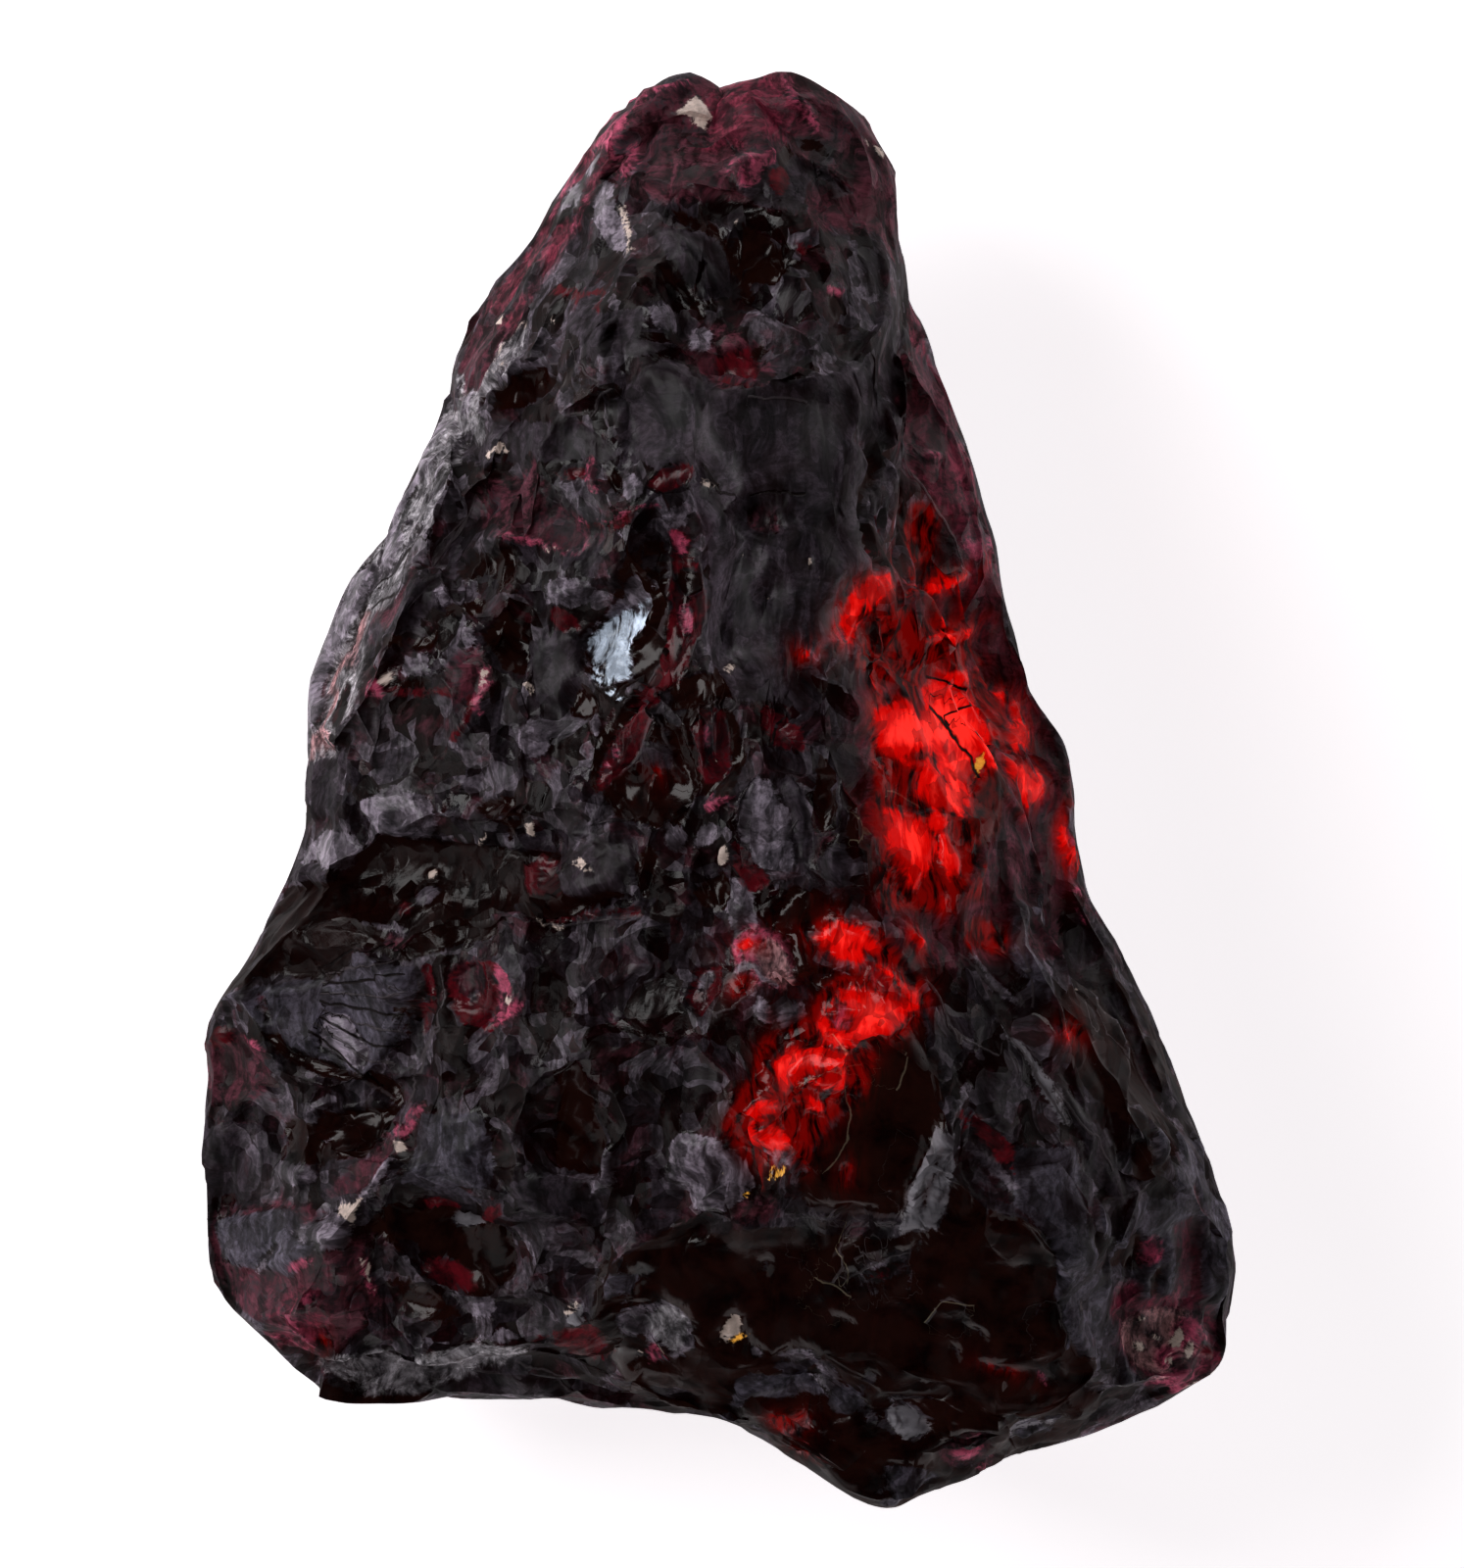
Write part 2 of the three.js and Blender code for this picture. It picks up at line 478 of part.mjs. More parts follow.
// Whether three vertices still run anticlockwise, seen from outside, and aren't in a line.
function faceOut(a, b, c) {
  const [p, q, r] = [a, b, c].map(unitOf);
  const side = q.clone().sub(p);
  const other = r.clone().sub(p);
  const turn = side.clone().cross(other);
  return turn.dot(p) > SWAP_OPEN * side.length() * other.length();
}

// Each vertex next to an edge between two faces slides onto that edge, so that the edge stays sharp.
const slides = new Map();

function crossing(from, to) {
  let low = 0;
  let high = 1;
  const id = leaveAt(from).id;
  for (let step = 0; step < 10; step++) {
    const middle = (low + high) / 2;
    if (leaveAt(from.clone().lerp(to, middle).normalize()).id === id) low = middle;
    else high = middle;
  }
  return (low + high) / 2;
}

function offerSlide(vertex, towards, share) {
  const best = slides.get(vertex);
  if (share > REACH || (best && best.share <= share)) return;
  slides.set(vertex, { share, unit: units[vertex].clone().lerp(units[towards], share).normalize() });
}

for (let i = 0; i < corners.length; i += 3) {
  const [p, q, r] = corners.slice(i, i + 3);
  for (const [a, b] of [[p, q], [q, r], [r, p]]) {
    if (a > b || hits[a].id === hits[b].id) continue;
    const share = crossing(units[a], units[b]);
    if (share < 0.5) offerSlide(a, b, share);
    else offerSlide(b, a, 1 - share);
  }
}
for (const [vertex, { unit }] of slides) hits[vertex] = leaveAt(unit);

// Each edge that crosses a ridge or a valley is swapped for the other diagonal of its two triangles.
const middleMiss = (a, b) => {
  const middle = hits[a].point.clone().lerp(hits[b].point, 0.5);
  const seen = unitOf(a).clone().add(unitOf(b)).normalize();
  return leaveAt(seen).point.distanceTo(middle);
};

function swapEdges() {
  const owners = new Map();
  const touched = new Set();
  for (let i = 0; i < corners.length; i += 3) {
    for (let j = 0; j < 3; j++) {
      const a = corners[i + j];
      const b = corners[i + ((j + 1) % 3)];
      owners.set(`${a},${b}`, { start: i, far: corners[i + ((j + 2) % 3)] });
    }
  }
  for (const [edge, left] of owners) {
    const [a, b] = edge.split(",").map(Number);
    const right = owners.get(`${b},${a}`);
    if (a > b || touched.has(left.start) || touched.has(right.start)) continue;
    if (owners.has(`${left.far},${right.far}`) || owners.has(`${right.far},${left.far}`)) continue;
    if (!faceOut(left.far, right.far, b) || !faceOut(right.far, left.far, a)) continue;
    if (middleMiss(left.far, right.far) > SWAP_GAIN * middleMiss(a, b)) continue;
    corners.set([left.far, right.far, b], right.start);
    corners.set([right.far, left.far, a], left.start);
    touched.add(left.start).add(right.start);
  }
}
for (let pass = 0; pass < SWAP_PASSES; pass++) swapEdges();
hits.forEach(({ point }, i) => position.setXYZ(i, point.x, point.y, point.z));
stone.computeVertexNormals();

// The finished stone is brought to its full length, with the origin under the middle of it.
const box = new THREE.Box3().setFromBufferAttribute(position);
const middle = box.getCenter(new THREE.Vector3());
const growth = LENGTH / (box.max.y - box.min.y);
stone.translate(-middle.x, -middle.y, -box.min.z);
stone.scale(growth, growth, growth);

const crystal = new THREE.MeshStandardMaterial({ color: 0x1a0d10, roughness: 0.35, metalness: 0 });
const mesh = new THREE.Mesh(stone, crystal);
mesh.name = "painite_stone";
const group = new THREE.Group();
group.add(mesh);
export default group;
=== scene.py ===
import functools
import math

import bmesh
import bpy
import numpy as np
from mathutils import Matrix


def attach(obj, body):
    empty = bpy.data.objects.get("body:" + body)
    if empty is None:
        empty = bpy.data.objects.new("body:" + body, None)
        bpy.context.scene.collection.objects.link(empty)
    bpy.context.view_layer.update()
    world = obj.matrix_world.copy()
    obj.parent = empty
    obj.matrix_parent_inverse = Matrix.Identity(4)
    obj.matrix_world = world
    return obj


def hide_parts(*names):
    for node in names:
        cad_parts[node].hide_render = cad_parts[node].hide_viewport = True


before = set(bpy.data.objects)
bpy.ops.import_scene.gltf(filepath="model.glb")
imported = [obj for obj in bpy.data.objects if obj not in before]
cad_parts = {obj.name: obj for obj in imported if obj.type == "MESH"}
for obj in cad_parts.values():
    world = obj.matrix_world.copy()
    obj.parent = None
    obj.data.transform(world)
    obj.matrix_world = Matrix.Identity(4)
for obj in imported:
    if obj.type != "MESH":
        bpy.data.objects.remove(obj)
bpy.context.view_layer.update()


# ---- The stone: one broken lump of dark red crystal ----
# Solid painite, nearly black where it is thick, and red where light comes through. The broad breaks are the
# solid's own; the finer flakes and chips are struck here into a closer mesh.
MM = 0.001
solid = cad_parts["painite_stone"]
stone = bpy.data.objects.new("painite", solid.data.copy())
bpy.context.scene.collection.objects.link(stone)
bpy.ops.object.select_all(action="DESELECT")
bpy.context.view_layer.objects.active = stone
stone.select_set(True)
stone.data.materials.clear()

LOW_SIDE = 4.2 * MM  # below this the mesh can be coarser
LOW_SHARE = 0.5
BLUNT, SHARP = math.radians(8), math.radians(26)  # an edge bent less is smooth, and one bent more is crisp
WALL = 0.55  # a face whose normal rises less than this is part of the stone's side
ROUNDED = 0.25  # how crisp an edge between two side faces stays
SHARPEN = -0.4  # the solid is made sharper first, because the finer mesh rounds it off
bpy.ops.object.mode_set(mode="EDIT")
bpy.ops.mesh.select_all(action="SELECT")
bpy.ops.mesh.remove_doubles(threshold=0.001 * MM)
bpy.ops.mesh.select_all(action="DESELECT")
shape = bmesh.from_edit_mesh(stone.data)
for face in shape.faces:
    face.select = face.calc_center_median().z < LOW_SIDE
bmesh.update_edit_mesh(stone.data)
bpy.ops.mesh.decimate(ratio=LOW_SHARE)
shape = bmesh.from_edit_mesh(stone.data)
crease = shape.edges.layers.float.get("crease_edge") or shape.edges.layers.float.new("crease_edge")
for edge in shape.edges:
    bend = abs(edge.calc_face_angle_signed(0))
    side = all(abs(face.normal.z) < WALL for face in edge.link_faces)
    edge[crease] = min(max((bend - BLUNT) / (SHARP - BLUNT), 0), 1) * (ROUNDED if side else 1)
bmesh.update_edit_mesh(stone.data)
bpy.ops.mesh.select_all(action="SELECT")
bpy.ops.mesh.vertices_smooth(factor=SHARPEN)
bpy.ops.object.mode_set(mode="OBJECT")

finer = stone.modifiers.new("finer", "SUBSURF")
finer.levels = 2
finer.render_levels = 2
finer.use_limit_surface = False
bpy.ops.object.modifier_apply(modifier="finer")


def columns(values):
    """A list of three numbers for each point of the mesh, as an array."""
    numbers = np.zeros(len(stone.data.vertices) * 3)
    stone.data.vertices.foreach_get(values, numbers)
    return numbers.reshape(-1, 3)


places = columns("co") / MM  # every place and every depth from here on is in millimetres
outward = columns("normal")


def shaken(i, j, k, salt):
    """An even random share, 0 to 1, for each whole-numbered corner of space."""
    mixed = np.sin(i * 127.1 + j * 311.7 + k * 74.7 + salt * 53.3) * 43758.5453
    return mixed - np.floor(mixed)


def wander(size, salt):
    """Smooth noise, -1 to 1, that turns over about every size millimetres."""
    spot = places / size
    low = np.floor(spot)
    part = spot - low
    part = part * part * (3 - 2 * part)
    total = np.zeros(len(places))
    for i in (0, 1):
        for j in (0, 1):
            for k in (0, 1):
                weight = np.prod(np.where([i, j, k], part, 1 - part), axis=1)
                total += weight * shaken(low[:, 0] + i, low[:, 1] + j, low[:, 2] + k, salt)
    return total * 2 - 1


BROAD, FINE = 0.16, 0.06  # how far every outline below wanders off, in broad waves and in fine ones
FRONT = 3.6  # the marks are on the front, and end about this high up, or LIFT higher on a steep side
LIFT = 2.6
FADE = 1.5  # the height over which they come in
steep = np.clip((0.45 - outward[:, 2]) / 0.25, 0, 1)  # 1 where the side is close to upright
across = places[:, 0] + (BROAD + steep) * wander(1.1, 1) + FINE * wander(0.4, 2)
along = places[:, 1] + (BROAD + steep) * wander(1.1, 3) + FINE * wander(0.4, 4)
level = places[:, 2] + 1.1 * wander(2.2, 5) - FRONT - LIFT * steep
facing = np.clip(level / FADE, 0, 1)

TONES = ["dusk", "grey", "steel", "light", "dark", "pit", "wine", "maroon", "rose", "blush"]
TONES += ["ember", "glow", "slate", "satin_sheen", "pale", "sheen", "gold"]
LINES = ["ridge", "crack", "lint"]
tones = {name: np.full(len(places), -1.0) for name in TONES}  # how far inside its areas each place is
line_side = {name: np.full(len(places), 1.0) for name in LINES}  # how far to one side of the nearest line
line_on = {name: np.zeros(len(places)) for name in LINES}  # 1 between a line's ends
halo = np.zeros(len(places))  # the red light round a glow
dug = np.zeros(len(places))  # how deep the sunk floors are
laid = places.copy()  # the places once the smooth faces are laid
FAR = 9.0  # every place further from a shape than this counts as this far from it


def oval(x, y, long, wide, turn=0):
    """How far inside an oval each place is; long and wide are from its middle to its edge."""
    a = math.radians(turn)
    dx, dy = across - x, along - y
    u = (dx * math.cos(a) + dy * math.sin(a)) / long
    v = (dy * math.cos(a) - dx * math.sin(a)) / wide
    return (1 - np.hypot(u, v)) * min(math.sqrt(long * wide), 2 * wide)


def off_path(points):
    """How far each place is from a path of straight steps."""
    away = np.full(len(places), FAR)
    for (ax, ay), (bx, by) in zip(points, points[1:]):
        dx, dy = bx - ax, by - ay
        t = np.clip(((across - ax) * dx + (along - ay) * dy) / (dx * dx + dy * dy), 0, 1)
        away = np.minimum(away, np.hypot(across - ax - t * dx, along - ay - t * dy))
    return away


def panel(*corners):
    """How far inside a facet with straight sides each place is; the corners can run either way round."""
    closed = corners + corners[:1]
    odd = np.zeros(len(places), bool)
    for (ax, ay), (bx, by) in zip(closed, closed[1:]):
        if by != ay:
            crosses = (ay > along) != (by > along)
            odd ^= crosses & (across < (bx - ax) * (along - ay) / (by - ay) + ax)
    return np.where(odd, 1, -1) * off_path(closed)


def streak(half, *points):
    """How far inside a narrow band each place is; half is half its width."""
    return half - off_path(points)


STEP = 0.1  # how far a flake's edge runs down
ROUND_DOWN = 0.5  # how fast an area ends where the front turns down, for each millimetre of height
GLOW_REACH = 0.4  # how far a glow spreads into the crystal round it
EMBER_SHARE = 0.5
LINE_END = 0.12  # how far a thin line runs on past its last point


def mark(tone, area, depth=0, slope=0, towards=0):
    """Give an area a tone, and sink it to a floor: depth is in the middle, and the floor falls by slope for
    each millimetre towards an angle, in degrees."""
    area = np.minimum(area, level * ROUND_DOWN)
    for name in TONES:
        tones[name] = np.maximum(tones[name], area) if name == tone else np.minimum(tones[name], -area)
    if tone in ("ember", "glow"):
        spread = np.exp(np.minimum(area, 0) / GLOW_REACH) * (EMBER_SHARE if tone == "ember" else 1)
        np.maximum(halo, spread * facing, out=halo)
    if depth or slope:
        inside = area > 0
        a = math.radians(towards)
        run = (across - across[inside].mean()) * math.cos(a) + (along - along[inside].mean()) * math.sin(a)
        np.maximum(dug, (depth + slope * run) * np.clip(area / STEP + 0.5, 0, 1), out=dug)


def trace(kind, *points):
    """Draw a thin line: how far each place is to one side of it, and whether it is between the ends."""
    for (ax, ay), (bx, by) in zip(points, points[1:]):
        dx, dy = bx - ax, by - ay
        size = math.hypot(dx, dy)
        t = ((across - ax) * dx + (along - ay) * dy) / size**2
        side = ((along - ay) * dx - (across - ax) * dy) / size
        past = np.maximum(-t, t - 1) * size
        nearer = (np.abs(side) < np.abs(line_side[kind])) & (past < LINE_END) & (facing > 0)
        line_side[kind][nearer] = side[nearer]
        line_on[kind][nearer] = 1


def cleave(area, border=0.7, slopes=None, hinge=None):
    """Bring an area onto one smooth face: gently curved, or flat, rising by slopes towards +X and +Y, and
    level with the rest along its edge, or along as much of the edge as is beyond the hinge."""
    share = np.clip(area / border, 0, 1) * facing
    inside = share > 0.5
    if slopes:
        face = across * slopes[0] + along * slopes[1]
        held = inside & (share < 0.9)
        face += np.percentile((laid[:, 2] - face)[held if hinge is None else held & (along > hinge)], 60)
    else:
        powers = ((0, 0), (1, 0), (0, 1), (2, 0), (1, 1), (0, 2))
        terms = np.stack([across**i * along**j for i, j in powers], axis=1)
        face = terms @ np.linalg.lstsq(terms[inside], laid[inside, 2], rcond=None)[0]
    laid[:, 2] += share * (face - laid[:, 2])


# Each tone is called by its name, with an area and, if that is sunk, its depth, slope and angle. A line is
# called by its kind, with its points.
(dusk, grey, steel, light, dark, pit, wine, maroon, rose, blush, ember, glow, slate, satin_sheen, pale, sheen,
 gold) = (functools.partial(mark, tone) for tone in TONES)
ridge, crack, lint = (functools.partial(trace, kind) for kind in LINES)

# Tip
dusk(panel((-3.6, 17.4), (-3, 19.4), (-0.8, 20.6), (2.4, 20.6), (4.4, 18.8), (5.2, 15.6), (4, 15.4),
    (0.6, 16.4), (-1.6, 16.4)))
maroon(panel((-0.5, 18.2), (-0.5, 19.4), (0.2, 20.2), (1.7, 19.9), (2.1, 18.9), (1.8, 18.2), (0.6, 18)))
grey(panel((0.3, 16.8), (1.4, 17.9), (2.8, 17.4), (3.6, 16.6), (2.4, 16), (1, 16.2)), 0.1, 0.05, 90)
dusk(oval(2.7, 16.3, 0.5, 0.8, 10))
dark(streak(0.13, (1.5, 17.4), (1.8, 18), (2.4, 18.2), (2.9, 17.8)), 0.15)
rose(oval(0.65, 17.3, 0.45, 0.4, 40))
wine(oval(1.5, 17, 0.28, 0.36), 0.15)
rose(oval(-2.45, 17.5, 0.3, 0.45))
rose(oval(-2.8, 18.85, 0.24, 0.34))
rose(oval(-1.85, 19.6, 0.34, 0.2, 40))
rose(streak(0.1, (1.85, 19.8), (2.2, 19.25), (2.5, 18.5)), 0.05)
pale(panel((-1.4, 18.85), (-0.72, 19.3), (-0.35, 18.8), (-0.4, 18.2), (-0.8, 18.55)))
rose(streak(0.2, (-3.1, 17.6), (-2.8, 18.6), (-2.1, 19.5), (-1.2, 19.9)))
pale(oval(3.8, 18.1, 0.14, 0.14))
maroon(panel((-3.3, 18.1), (-4.2, 17.2), (-5.3, 15.9), (-6.4, 14.4), (-6.8, 13), (-5.9, 13), (-4.7, 14.6),
    (-3.8, 16.5), (-3.3, 17.2), (-2.8, 17.5)), 0.1)
rose(panel((-3.6, 17.3), (-4.5, 16.4), (-4.3, 15.9), (-3.5, 16.9)))
dusk(panel((-6, 13.2), (-7.2, 13.2), (-8, 10.8), (-7.3, 10.4), (-6.6, 11.5), (-5.6, 13)), 0.05)
light(panel((-3.4, 17), (-2.9, 17), (-2.4, 15), (-3.1, 15.1), (-3.6, 16.2)), 0.1, 0.1, 200)
pale(streak(0.06, (-2.7, 16.3), (-2.6, 15.7), (-2.45, 15.1)))
grey(panel((-1.9, 15.7), (-0.3, 15.3), (0.6, 13.8), (-0.5, 13.6), (-1.6, 14.7)), 0.1, 0.2, -30)
dark(streak(0.13, (-1.35, 16), (-0.8, 15.8), (-0.1, 15.5), (0.25, 14.6), (0.75, 13.6)), 0.3)
dark(panel((0.5, 15.9), (1.1, 15.5), (2, 14.7), (1.4, 13.9), (0.5, 14.3), (0.1, 15.2), (0.8, 15.1)), 0.4,
    0.2, -40)
dark(streak(0.16, (-1.7, 14.2), (-1, 13.8), (-0.5, 13.1)), 0.3)
dark(oval(3.1, 13.4, 0.15, 0.35, 20), 0.15)
pale(oval(0.4, 15.75, 0.1, 0.18))
wine(oval(2.2, 15, 0.2, 0.15), 0.1)
rose(oval(3.1, 13.9, 0.3, 0.12))
light(panel((-2.2, 13.4), (-1.4, 13.5), (-1.3, 12.6), (-2, 12.7)), 0.05, 0.1, 0)
grey(panel((-4.2, 13.2), (-2.3, 13.3), (-2.2, 12.5), (-0.9, 12.1), (-3.6, 11.9)), 0.1, 0.1, 90)
pale(oval(-4.6, 13.2, 0.12, 0.16))
wine(streak(0.1, (-4.4, 13.9), (-3.9, 13.7), (-3.2, 13.4)), 0.1)
ridge((-4.9, 13.4), (-4.15, 13.9))
pale(streak(0.07, (-6.5, 11.5), (-6, 12.2), (-5.5, 13)))
dusk(oval(-0.3, 12.3, 0.9, 0.6, 10))
light(oval(-0.6, 12.45, 0.4, 0.3, 20))
dusk(oval(0.45, 11.8, 1, 0.72, -15))
wine(oval(0.5, 11.75, 0.62, 0.42, -15), 0.5, 0.25, 200)
dark(oval(1.12, 12, 0.14, 0.22, -60), 0.4)
dark(oval(1.7, 11.3, 0.14, 0.18), 0.15)
dark(panel((-6.3, 11.6), (-4.9, 11.6), (-4.5, 11.2), (-5.3, 10.8), (-6.6, 10.6)), 0.4, 0.2, 100)
for radius in (0.55, 0.8, 1.05):
    arc = [(-4.5 + radius * math.cos(t), 10.75 + 0.9 * radius * math.sin(t)) for t in (2, 1.5, 1, 0.5, 0)]
    dark(streak(0.06, *arc), 0.12)
ridge((-4.6, 11.8), (-3.9, 11.7), (-3.3, 11.2))
ridge((-3.6, 10.3), (-2.9, 10.9))

# Middle plate
grey(panel((-1.6, 11.9), (0.2, 11.1), (3.8, 11.6), (4.9, 13), (4.9, 9.6), (4, 9.4), (3.7, 8), (4.2, 6.1),
    (3.3, 5.6), (3, 4), (2.2, 3.3), (2.3, 2.3), (0.4, 2.4), (-0.15, 3), (-0.35, 5), (-0.4, 7.2),
    (-0.9, 8.4), (-2.8, 9.4), (-3, 10.6)))
dusk(oval(1.2, 7.3, 0.42, 0.4))
for x, y in ((0.5, 6.35), (1.35, 5.35), (0.35, 3.15), (2.6, 5.9), (2.4, 6.2)):
    pale(oval(x, y, 0.08, 0.06, 40 * x))
crack((0.9, 8), (1.5, 8.15), (2.2, 8.15))
crack((-0.5, 8.8), (0, 8.2), (0.5, 8.1))
ridge((0.9, 10.8), (1.6, 10.75), (2.3, 10.6))
pale(streak(0.05, (-0.5, 8.45), (-0.3, 8.35), (-0.1, 8.4)))
dark(oval(2.3, 3.55, 0.3, 0.22, -40), 0.15)
glow(oval(2.45, 3.65, 0.16, 0.12))
dark(oval(4.3, 8.75, 0.34, 0.42, -20), 0.45, 0.3, 0)
dark(streak(0.15, (4, 8.6), (4.15, 7.6), (4.6, 6.5)), 0.35)
dark(oval(4.75, 7.8, 0.2, 0.34, 20), 0.35)
wine(oval(4.45, 7.1, 0.15, 0.5, 15), 0.25)
light(oval(4.85, 9.35, 0.16, 0.12))

cleave(tones["grey"] * (across > -3) * (along > 2))

# Left bevel, steep and narrow
# The bevel's light, satin and blush tones are a painted reflection: the steep bevel catches the light from
# the left.
light(panel((-6.2, 11.6), (-7.2, 10.2), (-8.5, 8.2), (-8.1, 6.9), (-8.4, 5.9), (-9.6, 4.6), (-10.1, 3.3),
    (-10.9, 1.8), (-11.4, 0.8), (-12.2, 1), (-12, 3.4), (-10.8, 6), (-9.2, 8.4), (-7.8, 11)))
dusk(panel((-8.8, 6), (-8.3, 6.4), (-8.9, 5.2), (-9.9, 4), (-11, 1.8), (-11.4, 1.2), (-11.5, 2.4),
    (-10.6, 4), (-9.6, 5.4)))
satin_sheen(streak(0.14, (-5.5, 12.8), (-6.5, 11.5), (-7.3, 10.2)))
satin_sheen(streak(0.3, (-7.3, 10.2), (-8.4, 8.1), (-9.2, 6.3), (-10, 4.6)))
satin_sheen(streak(0.4, (-10, 4.6), (-10.9, 2.4), (-11.4, 0.8)))
blush(streak(0.2, (-9.9, 4.7), (-10.4, 3.8), (-11.05, 2.2), (-11.4, 0.9)))
dark(streak(0.1, (-10.1, 5.1), (-10.3, 4.6), (-10.6, 3.8)), 0.2)
grey(streak(0.12, (-8.7, 7.4), (-9.3, 6.5), (-10.2, 5.2)), 0.12)
grey(streak(0.1, (-7.2, 10), (-8, 8.6), (-8.5, 8.3)), 0.1)
crack((-8.5, 7.4), (-9.2, 6.2), (-10, 5.4))
crack((-8.2, 7), (-8.9, 6), (-9.7, 5))
ridge((-6.8, 8.2), (-7.3, 7.5), (-8, 6.6))
ridge((-6.9, 7.9), (-7.5, 7), (-8.1, 6.1))

# Left main face
grey(panel((-6.6, 10.4), (-3.6, 10), (-2.8, 9.2), (-5, 9), (-7.4, 9.2)), 0.12, 0.1, 70)
dusk(oval(-5.9, 7.9, 1, 0.8, 30), 0.05, 0.1, 60)
dusk(oval(-4.7, 7.1, 1.4, 0.6, -10), 0.1, 0.1, 80)
pale(oval(-6.2, 9.45, 0.24, 0.14, -40))
wine(oval(-4.1, 8.7, 0.5, 0.16, 8), 0.1)
rose(oval(-3.65, 8.7, 0.2, 0.44, 10))
dark(oval(-3, 8.6, 0.22, 0.45, 5), 0.2)
light(oval(-2.5, 8.3, 0.3, 0.45), 0.05, 0.1, 180)
wine(oval(-1.5, 8.5, 0.6, 0.36, 20), 0.2)
rose(streak(0.09, (-3.9, 7.35), (-3.1, 7.3), (-2.4, 7.62), (-1.7, 7.72)), 0.05)
wine(streak(0.13, (-3.8, 7.2), (-3, 7.2), (-2.5, 7.5)), 0.1)
light(oval(-1.25, 7.5, 0.4, 0.26, 30))
pale(streak(0.05, (-5.15, 6.55), (-4.6, 6.52), (-4.4, 6.6)))
rose(streak(0.07, (-6, 7), (-5.6, 6.7), (-4.2, 6.5), (-3.8, 6.7)))
dark(panel((-7.5, 6.2), (-6.7, 6.6), (-5.8, 6.6), (-5.8, 6), (-6.2, 5.4), (-6.6, 5.9), (-7.2, 5.75)), 0.35,
    0.25, 80)
grey(panel((-9.4, 4.6), (-8.3, 5.9), (-7.9, 5.8), (-7.95, 5), (-8.9, 4.2)), 0.1, 0.1, 300)
light(panel((-8, 5.7), (-7.6, 5.8), (-7.4, 5.4), (-7.9, 5)))
dark(oval(-7.2, 4.95, 0.5, 0.22, 10), 0.2)
dark(panel((-6.7, 4.1), (-5.9, 4.9), (-5.4, 4.7), (-5.35, 4), (-5.5, 3.3), (-6, 3.4)), 0.45, 0.25, 30)
dark(streak(0.1, (-9.6, 3.9), (-9, 4.1), (-8.2, 4), (-7.8, 4.4)), 0.2)
light(panel((-9, 3.7), (-8.2, 3.8), (-8.1, 3.2), (-8.9, 3.3)), 0.1, 0.2, 60)
light(panel((-7.3, 4.4), (-6.9, 4.4), (-6.8, 3.9), (-7.3, 3.9)))
dusk(oval(-7.1, 3, 0.95, 0.6, 80), 0.1, 0.12, 0)
pale(streak(0.05, (-6.65, 3.3), (-6.58, 3), (-6.65, 2.7)))
rose(streak(0.09, (-6.6, 3.3), (-6.55, 2.9), (-6.8, 2.3), (-6.6, 2.1)))
wine(streak(0.12, (-6.9, 2.4), (-7.2, 1.7), (-7.4, 1.4)))
rose(oval(-9.7, 2.8, 0.2, 0.3, 60))
pale(oval(-9.3, 3.05, 0.2, 0.1, 40))
wine(streak(0.12, (-9.1, 2.75), (-8.3, 2.7), (-7.8, 2.7)), 0.1)
dark(streak(0.1, (-9, 3), (-8.2, 2.95)), 0.15)
light(panel((-5, 5.7), (-3.8, 5.8), (-3.4, 5.3), (-4.2, 4.9), (-5, 5.1)), 0.1, 0.1, 40)
wine(oval(-4.4, 4.55, 0.5, 0.24, -35), 0.15)
light(panel((-5.1, 4.3), (-4.6, 3.9), (-4, 3.6), (-4.2, 3), (-5, 3.2)), 0.1)
pale(oval(-5.35, 2.8, 0.18, 0.26, 60))
light(oval(-5.3, 1.4, 0.5, 0.45), 0.05, 0.1, 30)
dark(oval(-4, 2.4, 0.42, 0.55, 20), 0.3)
light(oval(-3.6, 1.8, 0.14, 0.3, 20))
dark(panel((-2.6, 7), (-1.5, 6.9), (-1.4, 5.2), (-1.6, 4), (-2.2, 3), (-3.3, 2.6), (-3, 3.2), (-2.1, 4.6),
    (-2.3, 5.6), (-3.2, 5.2), (-2.8, 6.2)), 0.5, 0.3, 10)
light(panel((-2.6, 7.2), (-2, 7), (-2.2, 6.5), (-3, 6.9)), 0.1)
light(panel((-2.2, 6.5), (-1.7, 6.7), (-1.5, 6.3), (-2, 6.2)), 0.1)
# The bluish flake is a painted reflection: a light facet, sunk and tipped as GLINT is, with a veined sheen
# inside it.
light(panel((-2.7, 5.8), (-2, 5.4), (-2.2, 4.7), (-2.6, 4), (-2.5, 3.2), (-3.4, 2.8), (-3.8, 3.2),
    (-4, 4.2), (-3.3, 4.8)), 0.3, 0.2, 75)
grey(panel((-5.4, 4.2), (-4, 4.3), (-3.9, 3), (-4.4, 2), (-5.2, 2.4)), 0.1, 0.1, 200)
GLINT = (0.3, 0.2, 75)
sheen(panel((-2.1, 5.1), (-2.3, 4.6), (-2.7, 4.1), (-2.6, 3.2), (-3.3, 2.95), (-3.7, 3.1), (-3.6, 3.6),
    (-3.85, 4.1), (-3.3, 4.6), (-2.7, 4.9)), *GLINT)
dark(streak(0.07, (-3.9, 3.75), (-3.5, 3.5), (-3.3, 3.55)), 0.3)
dark(streak(0.06, (-3.8, 3.35), (-3.4, 3.2)), 0.3)
sheen(oval(-3.1, 2.6, 0.3, 0.12, -25))
wine(panel((-1.35, 7.2), (-1, 7.1), (-0.7, 6.3), (-0.45, 5.2), (-0.6, 4.3), (-1.1, 3.1), (-2, 2.3),
    (-2.9, 1.9), (-2.3, 2.9), (-1.6, 3.8), (-1.35, 5)), 0.3, 0.3, 180)
dark(oval(-0.95, 5.75, 0.3, 0.45, 10), 0.35)
rose(oval(-1.15, 6.85, 0.18, 0.34, 30), 0.1)
